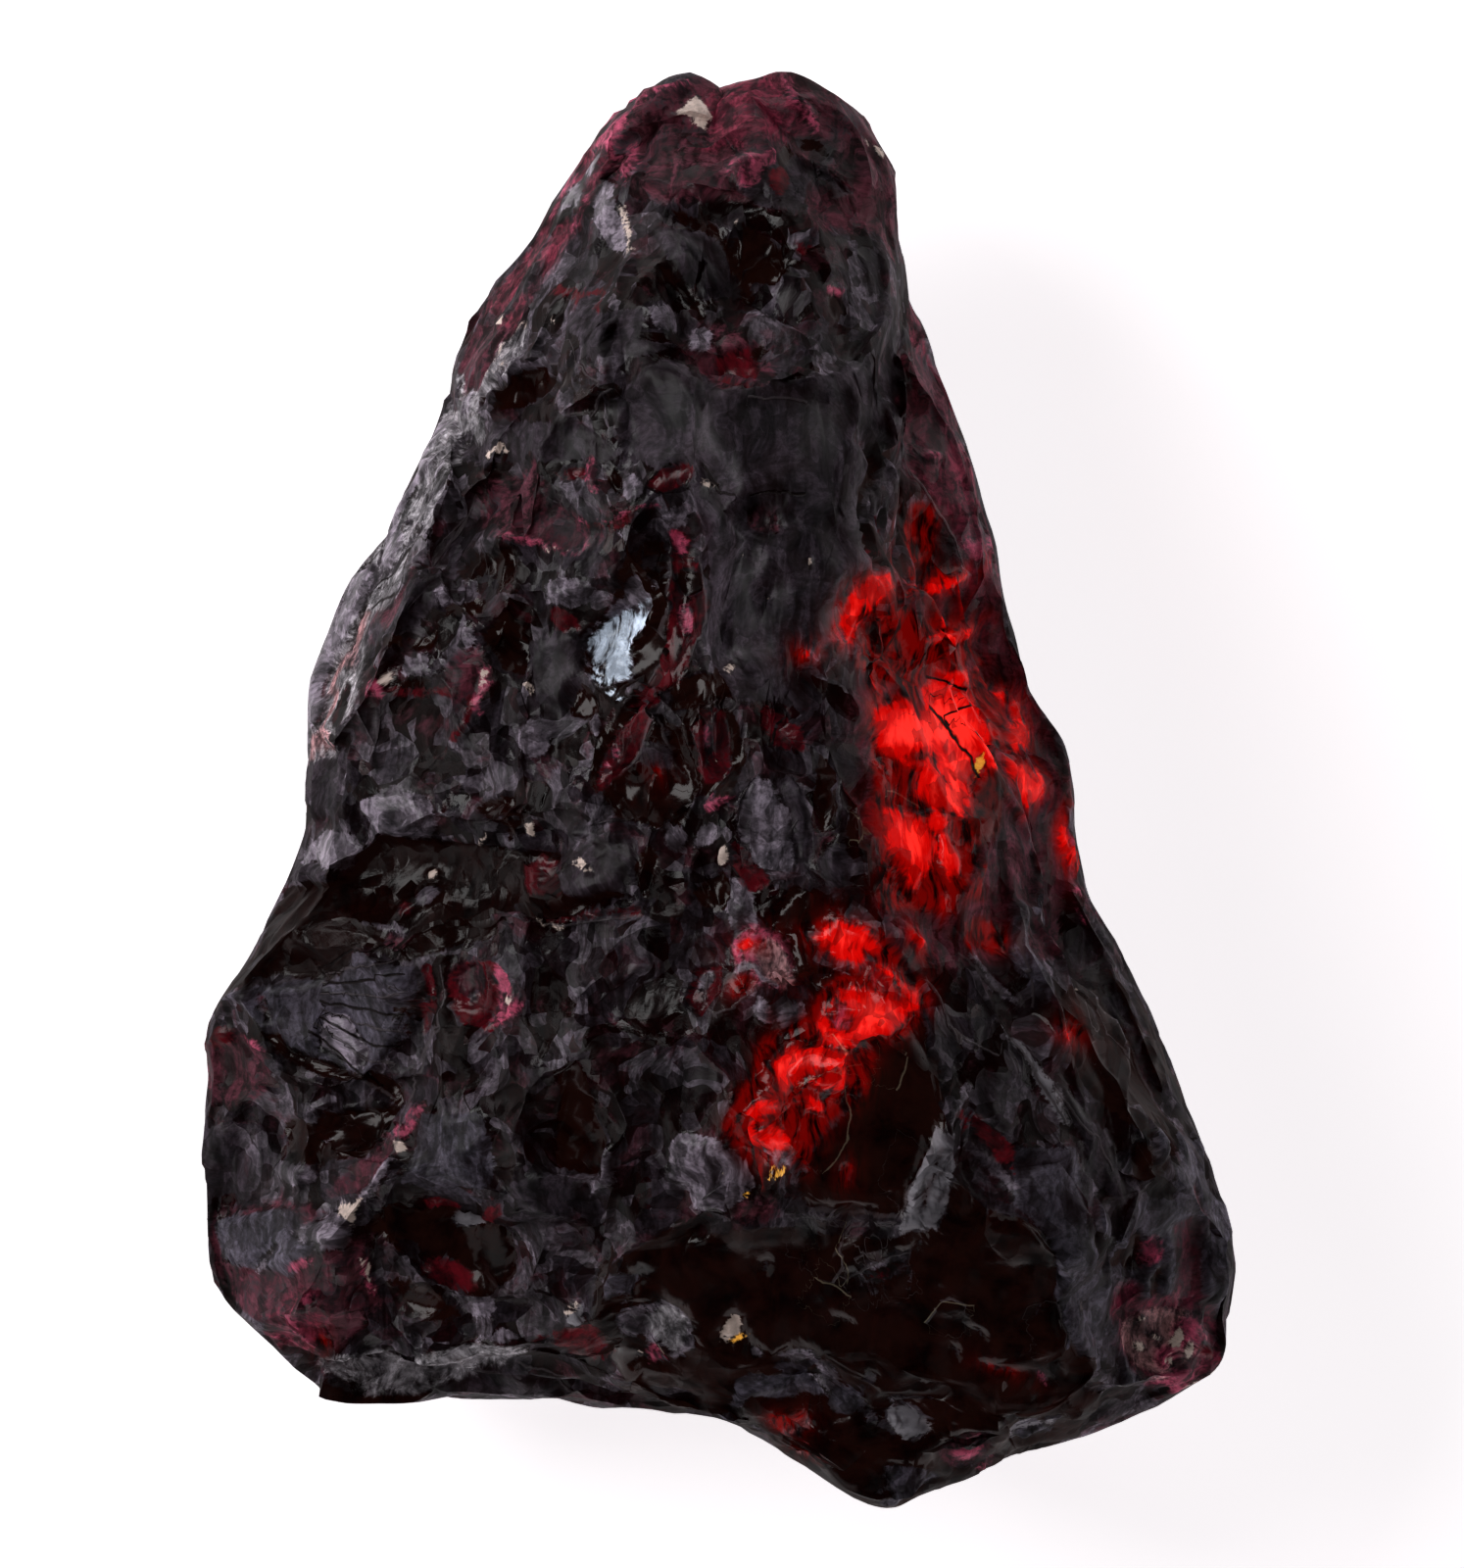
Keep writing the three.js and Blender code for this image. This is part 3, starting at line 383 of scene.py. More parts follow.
rose(oval(-1.05, 4.7, 0.14, 0.42, 0), 0.25)
ridge((-1.4, 7), (-1.36, 6), (-1.45, 5), (-1.62, 4.2), (-2.1, 3.2), (-2.8, 2.4))
ridge((-0.7, 6.5), (-0.5, 5.4), (-0.5, 4.6), (-0.8, 3.8))

# The middle, below the plate
dark(panel((-1.3, 3), (-0.7, 3.2), (0.1, 2.9), (0.3, 2.5), (-0.5, 2.3), (-1.2, 2.2)), 0.3)
dark(oval(-2.6, 1, 0.9, 1.3, -25), 0.1)
wine(panel((-1.7, 2.4), (-2.3, 2.3), (-2.9, 1.6), (-3.25, 0.7), (-3.3, -0.1), (-2.9, 0), (-2.5, 0.7),
    (-2.2, 1.4)), 0.1, 0.2, 0)
rose(oval(-3, 0.9, 0.1, 0.3, -20), 0.05)
ridge((-1.9, 2.2), (-2.2, 1.5), (-2.45, 0.8), (-2.85, 0.1))
dark(oval(-2, -0.35, 1.1, 0.78, -5), 0.25)
grey(oval(-1.85, 0.8, 0.6, 0.45, -10), 0.15, 0.2, 260)
pale(oval(-1.85, 0.25, 0.08, 0.13))
ember(oval(-1.85, 0.28, 0.2, 0.16))
pale(oval(-1.86, 0.22, 0.07, 0.11))
dark(streak(0.2, (-1.7, 1.8), (-1.2, 1.4), (-1, 0.6), (-0.9, 0)), 0.3)
dark(oval(-0.3, 1.1, 1.4, 0.8, 95), 0.1)
wine(panel((-0.05, 2.3), (-0.45, 2.15), (-0.75, 1.6), (-0.7, 0.5), (-0.5, 0), (-0.1, 0.1), (0.2, 0.7),
    (0.15, 1.5)), 0.1, 0.2, 0)
rose(oval(-0.35, 1.4, 0.4, 0.08, 95))
pale(oval(-0.28, 0.75, 0.1, 0.12))
rose(oval(-0.25, -0.45, 0.45, 0.14, 25))
ridge((-0.1, 2.5), (-0.55, 2.2), (-0.75, 1.6), (-0.6, 0.8), (-0.5, 0.2), (-0.6, -0.2))
ridge((0.35, 2.6), (0.4, 2.3), (0.2, 2.1))
ridge((-1.9, 2.1), (-1.6, 1.4), (-1.3, 1))
wine(panel((0.9, 2.2), (1.5, 2.1), (2.2, 1.5), (2.4, 1), (1.2, 1.1)), 0.2, 0.2, 80)
light(panel((0.35, -0.9), (0.95, 0.3), (1.5, 0.15), (1.8, -1), (2.1, -2.6), (1.5, -2.9), (1, -2.3)), 0.15,
    0.12, 200)
grey(panel((1.5, 0.15), (2, 0.4), (2.4, -0.8), (2.6, -1.5), (2.2, -2.6), (1.8, -1)), 0.2, 0.1, 30)
grey(panel((2.8, -2), (3.3, -1.3), (3.7, -2.1), (3.6, -3), (3, -3.1)), 0.1, 0.1, 300)
dark(panel((2.6, 0.9), (3.1, 0.6), (3.2, -0.6), (2.8, -1.2), (2.5, -0.4)), 0.2)
dark(oval(3.8, -1, 0.35, 0.75, 0), 0.25)
ridge((0.4, -0.8), (0.6, -0.4), (0.85, 0))
ridge((1.85, -1.2), (2, -0.9))
wine(panel((0.3, -1.4), (0.9, -2), (1.3, -2.8), (0.7, -2.9), (0.4, -2.2)), 0.3)
pale(oval(0.1, -1.9, 0.16, 0.34, -20))
dark(panel((-0.7, -2.9), (0, -2.4), (0.3, -3), (0, -3.5), (-0.5, -3.4)), 0.35)
light(panel((0.3, -2.6), (0.9, -3), (1, -3.9), (0.5, -4.1), (0.1, -3.4)), 0.1, 0.1, 20)
light(oval(-1.3, -1.3, 0.24, 0.4, 15))
light(oval(-0.5, -1.3, 0.4, 0.3, 40), 0.1)
grey(panel((-4.6, -2.6), (-3.6, -1.4), (-2.4, -1.5), (-2.3, -2.1), (-3, -2.9), (-4.2, -3)), 0.1, 0.1, 60)
pale(oval(-3.8, -2.15, 0.25, 0.1, -35))
dark(oval(-2.1, -2.4, 0.35, 0.7, -20), 0.3)
pit(panel((-6.1, -3.2), (-5, -3.05), (-3, -2.95), (-2.5, -3.2), (-4, -3.55), (-5, -3.65)), 0.6, 0.2, 90)
wine(streak(0.08, (-4.8, -3.7), (-3.6, -3.6), (-2.4, -3.5)), 0.2)
ridge((-5, -3.85), (-4.2, -3.85), (-2.7, -3.62))
pale(streak(0.06, (-5, -3.85), (-4.4, -3.9)))

# Round grain and the glow below it
rose(oval(1.2, -4.7, 0.75, 0.85, 20), -0.1)
light(oval(1.4, -4.9, 0.4, 0.62, 20))
light(oval(0.75, -4.95, 0.32, 0.2, 30))
rose(oval(1.25, -4.5, 0.5, 0.4, 10))
blush(oval(1.5, -4.75, 0.36, 0.66, 20))
glow(oval(0.85, -4.3, 0.24, 0.12, 20))
ember(oval(0.65, -5.5, 0.42, 0.28, 10))
wine(panel((-0.5, -5), (0.1, -4.9), (0, -5.6), (-0.5, -6.2), (-0.9, -6)), 0.25)
light(oval(-0.4, -5.3, 0.16, 0.3, -30))
ridge((-0.4, -5.2), (-0.4, -5.8), (-0.1, -6.2), (0.5, -6), (1.2, -5.6))
ridge((1, -5.6), (1.6, -5.3), (2, -5))
dark(panel((2, -2.8), (3.4, -3.5), (2.6, -4), (2.6, -5.2), (2, -5.2), (1.9, -4.2), (1.2, -3.8)), 0.35, 0.1,
    90)
light(panel((1.6, -6.2), (2, -5.8), (2.5, -6.2), (2, -6.9), (1.7, -6.8)), 0.05)
light(oval(1.25, -6.2, 0.2, 0.34, 20))
light(oval(1.1, -8.2, 0.24, 0.3, 20))
light(oval(2.4, -5.6, 0.14, 0.2, 20))
dark(panel((2.2, -5.4), (3.6, -5.1), (3.8, -5.9), (2.6, -6)), 0.3)
light(oval(3.4, -5.3, 0.3, 0.2, -20))

# Upper dark window
dark(panel((3.4, -6.9), (4.2, -7), (5.4, -6.4), (6.4, -7.9), (6.2, -9.4), (5.6, -10.2), (5, -11.9),
    (2.3, -11.7), (2.1, -10.3), (2.4, -9), (3.5, -8.4)), 0.3, 0.04, 60)
cleave(np.where((along < -5) & (across > 1.5), tones["dark"], -1))
ember(panel((2.2, -4), (3.4, -3.5), (4.6, -4), (5.7, -5.7), (5.4, -6.6), (4.2, -7.4), (4, -8.6),
    (3.2, -9.4), (2.4, -10.6), (0.9, -10.4), (0.2, -9.4), (0.6, -8.2), (1, -7.2), (2.2, -6.4), (2.8, -5.6),
    (3.8, -5.1)), 0.1)
glow(panel((2.55, -4.2), (3.3, -3.7), (4.3, -4), (4.5, -4.5), (3.7, -4.95), (2.9, -4.6)), 0.1)
glow(panel((4.1, -4.7), (4.6, -4.75), (5.4, -5.5), (5.5, -6.1), (5, -6.3), (4.5, -5.6)), 0.1)
glow(panel((2.6, -6.4), (3.2, -5.7), (3.9, -5.5), (4.6, -5.6), (5.2, -6.1), (4.7, -6.8), (3.7, -7.1),
    (2.8, -6.9)), 0.15)
rose(oval(3.35, -6.2, 0.25, 0.22, 30))
glow(panel((1.3, -7.6), (2, -7.1), (3, -7.05), (3.6, -7.4), (3.6, -8.2), (2.9, -8.4), (2, -8.1),
    (1.6, -8.3)), 0.1)
dark(streak(0.07, (2, -8.1), (2.9, -7.9), (3.6, -7.8)), 0.05)
glow(oval(1.5, -9.8, 0.5, 0.34, -20), 0.1)
glow(oval(1.1, -8.9, 0.4, 0.2, 30), 0.1)
glow(oval(2.6, -8.9, 0.34, 0.2, -30), 0.1)
ember(oval(3.5, -10.8, 0.15, 0.24))
wine(oval(4.6, -5.3, 0.8, 0.2, -50))
flake = panel((-1.3, -10), (-0.9, -9.7), (0, -9.7), (0.9, -10.4), (1, -11), (0.1, -11.8), (-0.7, -11.6),
    (-0.9, -11), (-1.5, -10.8))
cleave(flake, border=0.4)
light(flake)
light(oval(1.8, -10.35, 0.34, 0.26, -30))
dusk(oval(1, -11.7, 0.55, 0.5, -30), 0.05)
gold(oval(1.45, -10.65, 0.26, 0.17, 10))
gold(oval(1.75, -10.6, 0.2, 0.09, 40))
gold(oval(0.7, -11.1, 0.2, 0.1, 60))
pale(oval(1.4, -10.6, 0.1, 0.07))
pale(oval(0, -10.8, 0.03, 0.14, 10))
light(streak(0.13, (6.5, -9.1), (6.9, -8.4)))
light(streak(0.12, (6.7, -9.7), (7.6, -10.4), (8.3, -11.1)))
grey(streak(0.07, (1.9, -11.85), (2.8, -11.8), (5, -11.95)))
ridge((1.9, -11.8), (2.8, -11.72), (3.8, -11.8), (5, -11.9))
ridge((2, -12), (3.2, -12.05), (4.6, -12.15))

# Lower dark window
dark(panel((-3.3, -13.4), (-1.6, -12.3), (0.2, -12.4), (2, -12.3), (4.8, -12.5), (6, -12.3), (6.6, -10.6),
    (7.2, -11.6), (8.6, -12), (9.2, -13), (9.6, -15), (10.3, -17.2), (10.2, -18.6), (8, -19.4),
    (4.6, -20.6), (2.2, -19.4), (0, -17.6), (-2.6, -16.6), (-3.6, -15)))
cleave(np.where((along < -11.9) & (along > -17.6), tones["dark"], -1), slopes=(0.12, 0.72), hinge=-13)
column = panel((5.65, -10), (5.9, -9.5), (6.7, -9.5), (6.6, -10.4), (6.3, -11.4), (6, -12.2), (4.7, -12.5),
    (5.2, -11.6))
cleave(column, border=0.25)
slate(column, -0.1, 0.05, 90)
dark(streak(0.06, (6.15, -9.8), (6, -10.8), (5.6, -11.8)), 0.05)
ridge((5.65, -10), (5.4, -11), (5, -11.8))
ridge((3.4, -12.1), (3.5, -12.6), (3.38, -13.2), (3.15, -13.6))
ridge((3.5, -13.6), (3.9, -13.35), (4.5, -13.1), (5.1, -13))
ridge((3.9, -12.95), (4.4, -12.8))
light(streak(0.07, (3.6, -13.5), (4.2, -13.2), (5.2, -13), (5.5, -12.7)))
wine(oval(4.6, -13.4, 0.4, 0.1, 10))
light(oval(4.2, -13.95, 0.18, 0.1, 30))
light(streak(0.05, (5.3, -13.4), (5, -13.9)))
ridge((5.75, -14.8), (5.9, -14.5))
ridge((6, -14.2), (6.4, -14.1), (6.8, -14.3))
light(panel((-2.6, -14.2), (-1.6, -14.2), (-0.9, -14.7), (-0.8, -15.6), (-1.7, -16.1), (-2.1, -15.4)), -0.1,
    0.15, 200)
satin_sheen(panel((-2.1, -14.6), (-1.5, -14.4), (-1, -14.8), (-1.1, -15.4), (-1.7, -15.8)))
rose(oval(-1.9, -15.7, 0.2, 0.3, 20))
pale(oval(-2.3, -15.7, 0.09, 0.36, -12))
pale(oval(-4.05, -14.6, 0.26, 0.22, 40))
light(oval(-2.6, -14.9, 0.26, 0.3, 40))
pale(oval(0.3, -15.1, 0.2, 0.34, -20))
pale(oval(0.25, -15.3, 0.16, 0.08, 30))
light(oval(0.95, -15.6, 0.26, 0.12, -40))
light(panel((1, -16.8), (2.2, -16.4), (2.9, -16.3), (3.2, -16.9), (2.2, -16.9)), -0.05, 0.1, 90)
light(streak(0.09, (0.5, -17.2), (0.9, -16.8), (1.9, -16.55)))
light(streak(0.1, (1.9, -15.95), (2.8, -16.1), (3.3, -16.7), (3.6, -17.4)))
ridge((2, -15.9), (2.8, -16.05), (3.2, -16.5))
grey(streak(0.12, (4.3, -16.4), (3.9, -16.9), (3.7, -17.4)))
light(panel((4.6, -17.1), (5.4, -17.2), (5.9, -17.6), (5.1, -18)), -0.05, 0.15, 100)
grey(streak(0.08, (4.1, -17.5), (4.8, -18)))
dusk(oval(6.8, -18.5, 0.75, 0.4, 10), -0.05)
rose(oval(6.9, -18.6, 0.4, 0.16, 10), -0.05)
light(oval(8.3, -18.1, 0.5, 0.16, 10))
light(oval(5.2, -19.4, 0.6, 0.12, 10))
rose(oval(8.65, -16.3, 0.18, 0.1, -50))
ember(oval(7.7, -16.2, 0.3, 0.1, -20))

# The big glow
dusk(panel((4, 3.6), (5.6, 5.8), (7.4, 5.6), (8.2, 4), (9.2, 2.8), (9.4, 0.4), (9.8, -2), (9.4, -4.6),
    (6, -5), (4.4, -3.4), (3.9, -0.4), (3.6, 1.6)))
maroon(panel((5.2, 13.2), (6.1, 12.2), (6.8, 10.6), (7.3, 9), (7.9, 6.8), (8.1, 5), (7.3, 5.2), (6.9, 6.3),
    (6.1, 7.9), (5.3, 9.1), (5.15, 10.5)), 0.05)
dusk(oval(5.8, 10.6, 0.7, 1.6, 20))
rose(oval(5.9, 9.35, 0.36, 0.1, -10))
ember(oval(5.75, 7.6, 0.36, 0.3, -40))
ember(oval(5.6, 6.7, 0.4, 0.6, 10))
rose(oval(7.2, 6.55, 0.4, 0.24, -50))
dusk(oval(7.6, 5.6, 0.3, 0.8, 15))
ridge((5.06, 12.8), (5.1, 10), (5.3, 9), (6, 8), (6.6, 6.8), (7, 6), (7.1, 5.4))
ember(oval(4.5, 3.4, 0.4, 0.7, 10), 0.1)
glow(oval(4.4, 2.95, 0.2, 0.36, 20))
ember(oval(4.9, 4.2, 0.16, 0.24))
ember(oval(5.3, 3, 0.4, 0.3))
glow(panel((6.1, 3.15), (6.6, 3.5), (6.95, 3.3), (7, 2.8), (6.4, 2.85)))
ember(panel((3.8, 3.4), (4.4, 4.6), (5.6, 5.2), (6.8, 4.8), (7.4, 3.4), (5.6, 3), (4.4, 2.8)))
ember(panel((4.2, 2.4), (5.6, 2.6), (7.4, 2.9), (8, 1.6), (7.8, -0.4), (7, -2), (6.6, -3.4), (4.4, -3.2),
    (4.2, -0.5), (4.1, 1)))
dusk(panel((5, 5.2), (5.4, 5.6), (7.2, 5.4), (7.4, 4.8), (5.6, 4.6)))
glow(streak(0.34, (3.5, 4.3), (3.8, 4.9), (4.4, 5.5)), 0.15)
rose(oval(3.35, 4.1, 0.18, 0.22, 30))
glow(oval(6.3, 5.72, 0.7, 0.24, 12), 0.05)
glow(oval(6.4, 4.2, 0.7, 0.22, 20))
glow(panel((5.8, 2.9), (7, 2.75), (7.2, 2.2), (7.75, 1.6), (7.6, 1), (7.35, 0.4), (6.9, 0.2), (7, -0.4),
    (5.8, -0.6), (5.3, -0.2), (5.4, 0.4), (4.8, 0.8), (4.3, 1.2), (4.35, 2.1), (5.1, 2.4)), 0.1, 0.05, 20)
dark(oval(5.5, 0.9, 0.42, 0.12, 5), 0.1)
gold(oval(7.1, 0.7, 0.12, 0.3, -20))
crack((5.72, 2.35), (6.25, 1.65), (6.85, 0.7), (7.2, 0.3))
crack((5.8, 2.32), (6.33, 1.62), (6.9, 0.75))
crack((6.1, 1.9), (6.5, 2), (7, 2.25))
crack((5.9, 3), (6.4, 2.85), (6.9, 2.78))
glow(panel((4.4, -0.6), (5.5, -0.7), (5.9, -1.5), (5.7, -2.4), (5.2, -2.8), (4.8, -2.2), (4.5, -1.6)))
glow(oval(6.2, -1.9, 0.26, 0.7, 5))
glow(oval(5.95, -0.9, 0.4, 0.3))
glow(oval(6.15, -3.1, 0.14, 0.2))
glow(oval(5.4, -4.2, 0.32, 0.14, -60))
ember(oval(7, -2.9, 0.2, 0.25))
ember(oval(7.4, -4.1, 0.7, 0.4, -20))
dark(panel((7.3, 0.3), (8, 1.2), (8, -0.2), (7.4, -1.6), (6.9, -1)), 0.15)
glow(oval(7.8, 2.5, 0.18, 0.12))
glow(oval(8.3, 2.2, 0.18, 0.24))
glow(oval(8.35, 1.5, 0.34, 0.5))
glow(oval(8.6, 0.15, 0.4, 0.5, 20))
glow(oval(9.72, -1.5, 0.3, 0.65, 5))
rose(oval(9.8, -1.4, 0.12, 0.4, 5))
rose(streak(0.07, (9.85, -2.8), (10.05, -3.4), (10.4, -4)))

# Right flank
dark(panel((9.4, -5.8), (10.5, -5.4), (12, -8.4), (12.4, -9.9), (10.8, -9), (9.9, -7.6)), 0.2, 0.1, 200)
dark(panel((10.6, -4.6), (11.6, -5.4), (12.9, -8), (13, -8.8), (12.3, -8.2), (11.2, -5.9)))
glow(oval(9.75, -6.85, 0.2, 0.12, -20))
pale(oval(9.95, -5.95, 0.1, 0.12))
slate(panel((8, -6.9), (8.4, -7.1), (9.1, -8.1), (9.8, -9.5), (9.4, -9.3), (8.7, -8)))
light(streak(0.1, (9.2, -8.3), (9.8, -9.1), (10.4, -10)))
light(streak(0.08, (6.9, -4.6), (7.6, -5.3), (8.2, -6)))
steel(streak(0.3, (8.8, -5.6), (8.3, -4.4), (8.2, -3.4)))
grey(panel((9.3, -8.2), (9.7, -8.5), (10.9, -9.9), (11.7, -11.7), (11.2, -11.8), (10.2, -10.2)))
ridge((8.1, -7), (8.6, -7.7), (9.2, -8.8), (9.6, -9.4))
ridge((9.2, -8.3), (10.2, -9.6), (10.9, -10.6))
ridge((10.4, -5.8), (11.3, -7.1), (12, -8.3), (12.8, -9.8), (13.5, -10.6))
ridge((6.6, -4.5), (7.3, -5.2), (8, -5.8))
ridge((8.3, -3.4), (8.4, -4.6), (8.6, -6))
ridge((6.4, -6.6), (7, -7), (7.7, -7.4))
ridge((5.6, -5.2), (6.1, -6), (6.6, -7))
wine(panel((6.6, -9), (7.2, -9.1), (8.2, -10), (8.7, -10.9), (8, -10.5), (7.2, -9.6)), 0.1)
steel(panel((8.2, -10), (9.8, -10), (10.2, -11), (10, -12), (10.6, -13), (11, -14.5), (10.6, -16.2),
    (9.9, -15.8), (9.4, -14.2), (9.1, -12.5), (8.2, -11.5)))
steel(panel((11.4, -11.4), (13.6, -11.6), (14.2, -14.4), (13.4, -16.6), (10.8, -16.8), (10.6, -14)))
dark(oval(11.9, -10.3, 0.4, 0.5, 20), 0.3)
dark(oval(11.5, -12.9, 0.3, 0.5, 0), 0.2, 0.2, 0)
dark(oval(12.2, -13.8, 0.12, 0.5), 0.2)
steel(panel((12.4, -9.4), (13.4, -10), (14.6, -12.5), (14.4, -14.6), (13, -14.6), (12.8, -12)))
dusk(panel((12.6, -12.2), (13.3, -12), (13.5, -14.4), (12.7, -14.6)))
rose(oval(11.95, -12.9, 0.42, 0.2, 60))
maroon(oval(11.3, -14.4, 0.5, 0.6))
maroon(oval(12.5, -15.4, 1.5, 1.2, 20))
blush(oval(12.3, -15.45, 1.2, 0.8, 20))
rose(oval(13, -15.3, 0.5, 0.5))
rose(oval(12.3, -15.9, 0.3, 0.3))
PEARLS = ((11.6, -15.7, 0.18, 0.12, 0), (12.1, -15.4, 0.14, 0.1, 0), (12.6, -15.35, 0.09, 0.28, -30),
    (12.8, -15.8, 0.12, 0.26, -20), (12.4, -16, 0.1, 0.14, 0), (11.9, -14.9, 0.14, 0.08, 20))
for pearl in PEARLS:
    pale(oval(*pearl))
rose(oval(13.3, -15.1, 0.2, 0.4, -10))
rose(oval(12.5, -16.5, 0.34, 0.2, -10))
wine(oval(13.3, -15.8, 0.4, 0.2, -40))
ridge((9.45, -14.4), (9.6, -15), (9.9, -15.9), (10.4, -17))

# The ledge and the fan on the left
grey(panel((-11.6, 1), (-10.6, 1), (-10.2, 0.2), (-10.5, -0.6), (-11.9, -0.8)))
light(panel((-10.1, -0.6), (-9.2, 0), (-8.2, -0.3), (-8, -0.9), (-8.4, -1.4), (-9.5, -1.3)), 0.05, 0.1, 90)
light(oval(-10.9, -1.7, 0.8, 0.55, -10), 0.1, 0.1, 90)
grey(oval(-11.4, -2.35, 0.5, 0.26, -20))
dark(panel((-6.9, -0.5), (-6.4, -0.2), (-5.7, -0.1), (-6, -0.7), (-6.2, -1.2), (-6.7, -0.9)), 0.35, 0.2, 90)
dark(panel((-6.3, -1.2), (-5.4, -0.8), (-5.5, -1.1), (-6.1, -1.7)), 0.3)
dark(oval(-7.3, -0.2, 0.24, 0.2), 0.2)
pit(panel((-12.3, -2.7), (-10.5, -2.5), (-9.6, -1.4), (-8, -1.6), (-6.2, -1.8), (-4.6, -1.9), (-4.5, -2.9),
    (-5.9, -3.1), (-6.2, -3.4), (-6.3, -4.1), (-8, -4.6), (-8.6, -4.9), (-10, -4.3), (-10.9, -5.3),
    (-13.4, -5.3), (-12.9, -4)), 0.2, 0.1, 80)
dusk(oval(-8.9, -4.1, 0.5, 0.3, 10))
wine(oval(-5.2, -2.4, 0.5, 0.4))
wine(oval(-8.9, -3.25, 0.2, 0.2))
pale(oval(-8.1, -2.4, 0.14, 0.1))
light(oval(-8.3, -2.95, 0.34, 0.22, 20))
light(streak(0.08, (-9.9, -3.6), (-9.3, -3.8), (-8.5, -3.9)))
light(oval(-8.15, -1.2, 0.24, 0.26))
pale(oval(-6.8, -1.5, 0.26, 0.1, 40))
pale(oval(-5.3, -1.3, 0.14, 0.2, 20))
steel(panel((-13.6, -5.6), (-10.9, -5.4), (-10, -4.7), (-8.45, -5), (-8.4, -6.8), (-9.2, -7.4),
    (-9.8, -7.9), (-11.3, -7.6), (-12.6, -6.9)), 0, 0.06, 270)
pit(panel((-11.9, -4.4), (-10.4, -4.4), (-10.2, -5), (-10.9, -5.6), (-11.8, -5.3)))
light(panel((-11, -6.4), (-10.3, -6.4), (-9.9, -7.2), (-10.2, -7.7), (-11.2, -7.3)))
for step in range(9):
    turn = math.radians(-38 + 8 * step)
    line = [(-12.6 + run * math.cos(turn), -5.9 + run * math.sin(turn)) for run in (1.6, 2.6, 3.9)]
    trace("ridge" if step % 2 else "crack", *line)
dusk(streak(0.08, (-12.7, -5.8), (-12.6, -6.4)))
dark(streak(0.17, (-12.5, -7), (-11.3, -7.85), (-9.9, -8.05), (-9, -8.5)), 0.35)
wine(streak(0.14, (-8.1, -5.1), (-8, -6), (-8.2, -6.7)), 0.2)
for step in range(5):
    dark(streak(0.035, (-8.35, -6.1 - 0.2 * step), (-8.9, -6.15 - 0.2 * step)), 0.06)
ridge((-10.1, -8.15), (-9.2, -8.5))
ridge((-7.7, -5), (-7.6, -5.8), (-7.8, -6.6), (-8.5, -7.6))
wine(oval(-14, -7.1, 0.36, 0.36))
dusk(oval(-13.5, -8, 0.8, 0.9))
rose(oval(-12.9, -7.3, 0.36, 0.14, -30))
wine(oval(-6.6, -5.7, 0.9, 0.9), 0.2, 0.1, 100)
dusk(oval(-6.9, -5.4, 0.5, 0.55, 20), 0.15)
rose(oval(-5.95, -5.4, 0.16, 0.5, 20))
rose(oval(-5.8, -5.9, 0.28, 0.28))
pale(oval(-5.78, -5.82, 0.12, 0.12))
rose(oval(-6.1, -6.3, 0.3, 0.12, 20))
light(oval(-6.8, -5.9, 0.2, 0.12))

# Lower left
dark(panel((-12.3, -9.6), (-11.3, -9.1), (-9.8, -8.8), (-8.9, -8.7), (-9.6, -9.6), (-11, -10.6),
    (-12, -10.3)), 0.35, 0.2, 80)
light(oval(-10.9, -9.8, 0.2, 0.12, 30))
light(oval(-11.2, -8.8, 0.4, 0.14, 20))
light(oval(-11.8, -10.8, 0.6, 0.3, -10))
grey(panel((-14.4, -9.6), (-13.6, -9.4), (-13.2, -11.3), (-14.6, -11.5)), 0.05)
dusk(panel((-11, -11.3), (-10, -10.1), (-9.3, -9.5), (-8.9, -9.8), (-10.1, -11.4)))
light(panel((-9.2, -10), (-9, -10.3), (-10.1, -11.8), (-10.5, -12.8), (-10.4, -11.8)))
pale(oval(-9.05, -9.8, 0.16, 0.12, -40))
rose(oval(-8.9, -9.4, 0.26, 0.14, 30))
rose(oval(-8.5, -9, 0.16, 0.3, -30))
ridge((-7.9, -6.6), (-8.4, -7.6), (-8.8, -8.8), (-9.2, -10))
steel(panel((-8.8, -11.2), (-8.3, -9), (-6.5, -9), (-6.2, -10.5), (-6.6, -11.6)), 0.08, 0.04, 250)
grey(panel((-5.9, -11), (-4.8, -10.6), (-3.8, -10.9), (-4.3, -12), (-5.3, -12.4)), 0.1, 0.1, 250)
light(panel((-3.5, -9.8), (-3.1, -10), (-3.1, -11), (-3.7, -11.6), (-3.4, -10.8)))
dark(panel((-4.5, -8.2), (-4, -7.8), (-3.6, -8.6), (-3.3, -9.8), (-3.6, -10.8), (-4.4, -10.2)), 0.4, 0.2,
    200)
dusk(panel((-14.4, -11.7), (-11.5, -11.6), (-10, -12.8), (-9.6, -14.6), (-11, -16), (-12.4, -16),
    (-14.4, -13.6)))
steel(panel((-14.2, -12), (-12, -11.8), (-11.1, -12.7), (-11.9, -13.7), (-13.8, -13.4)))
light(panel((-11.9, -12.5), (-10.6, -11.6), (-10, -11.4), (-10.3, -12.3), (-10.6, -13)), 0, 0.08, 40)
pale(panel((-10.7, -11.7), (-10, -11.4), (-10.3, -12.2)))
light(oval(-11, -12.9, 0.26, 0.13))
light(streak(0.07, (-12.4, -13), (-12.8, -13.6)))
maroon(panel((-12.6, -14.8), (-11.8, -14.1), (-11.2, -14), (-11.1, -15.2), (-12, -15.6)), 0.05)
rose(streak(0.16, (-12.2, -14.9), (-11.5, -14.4)))
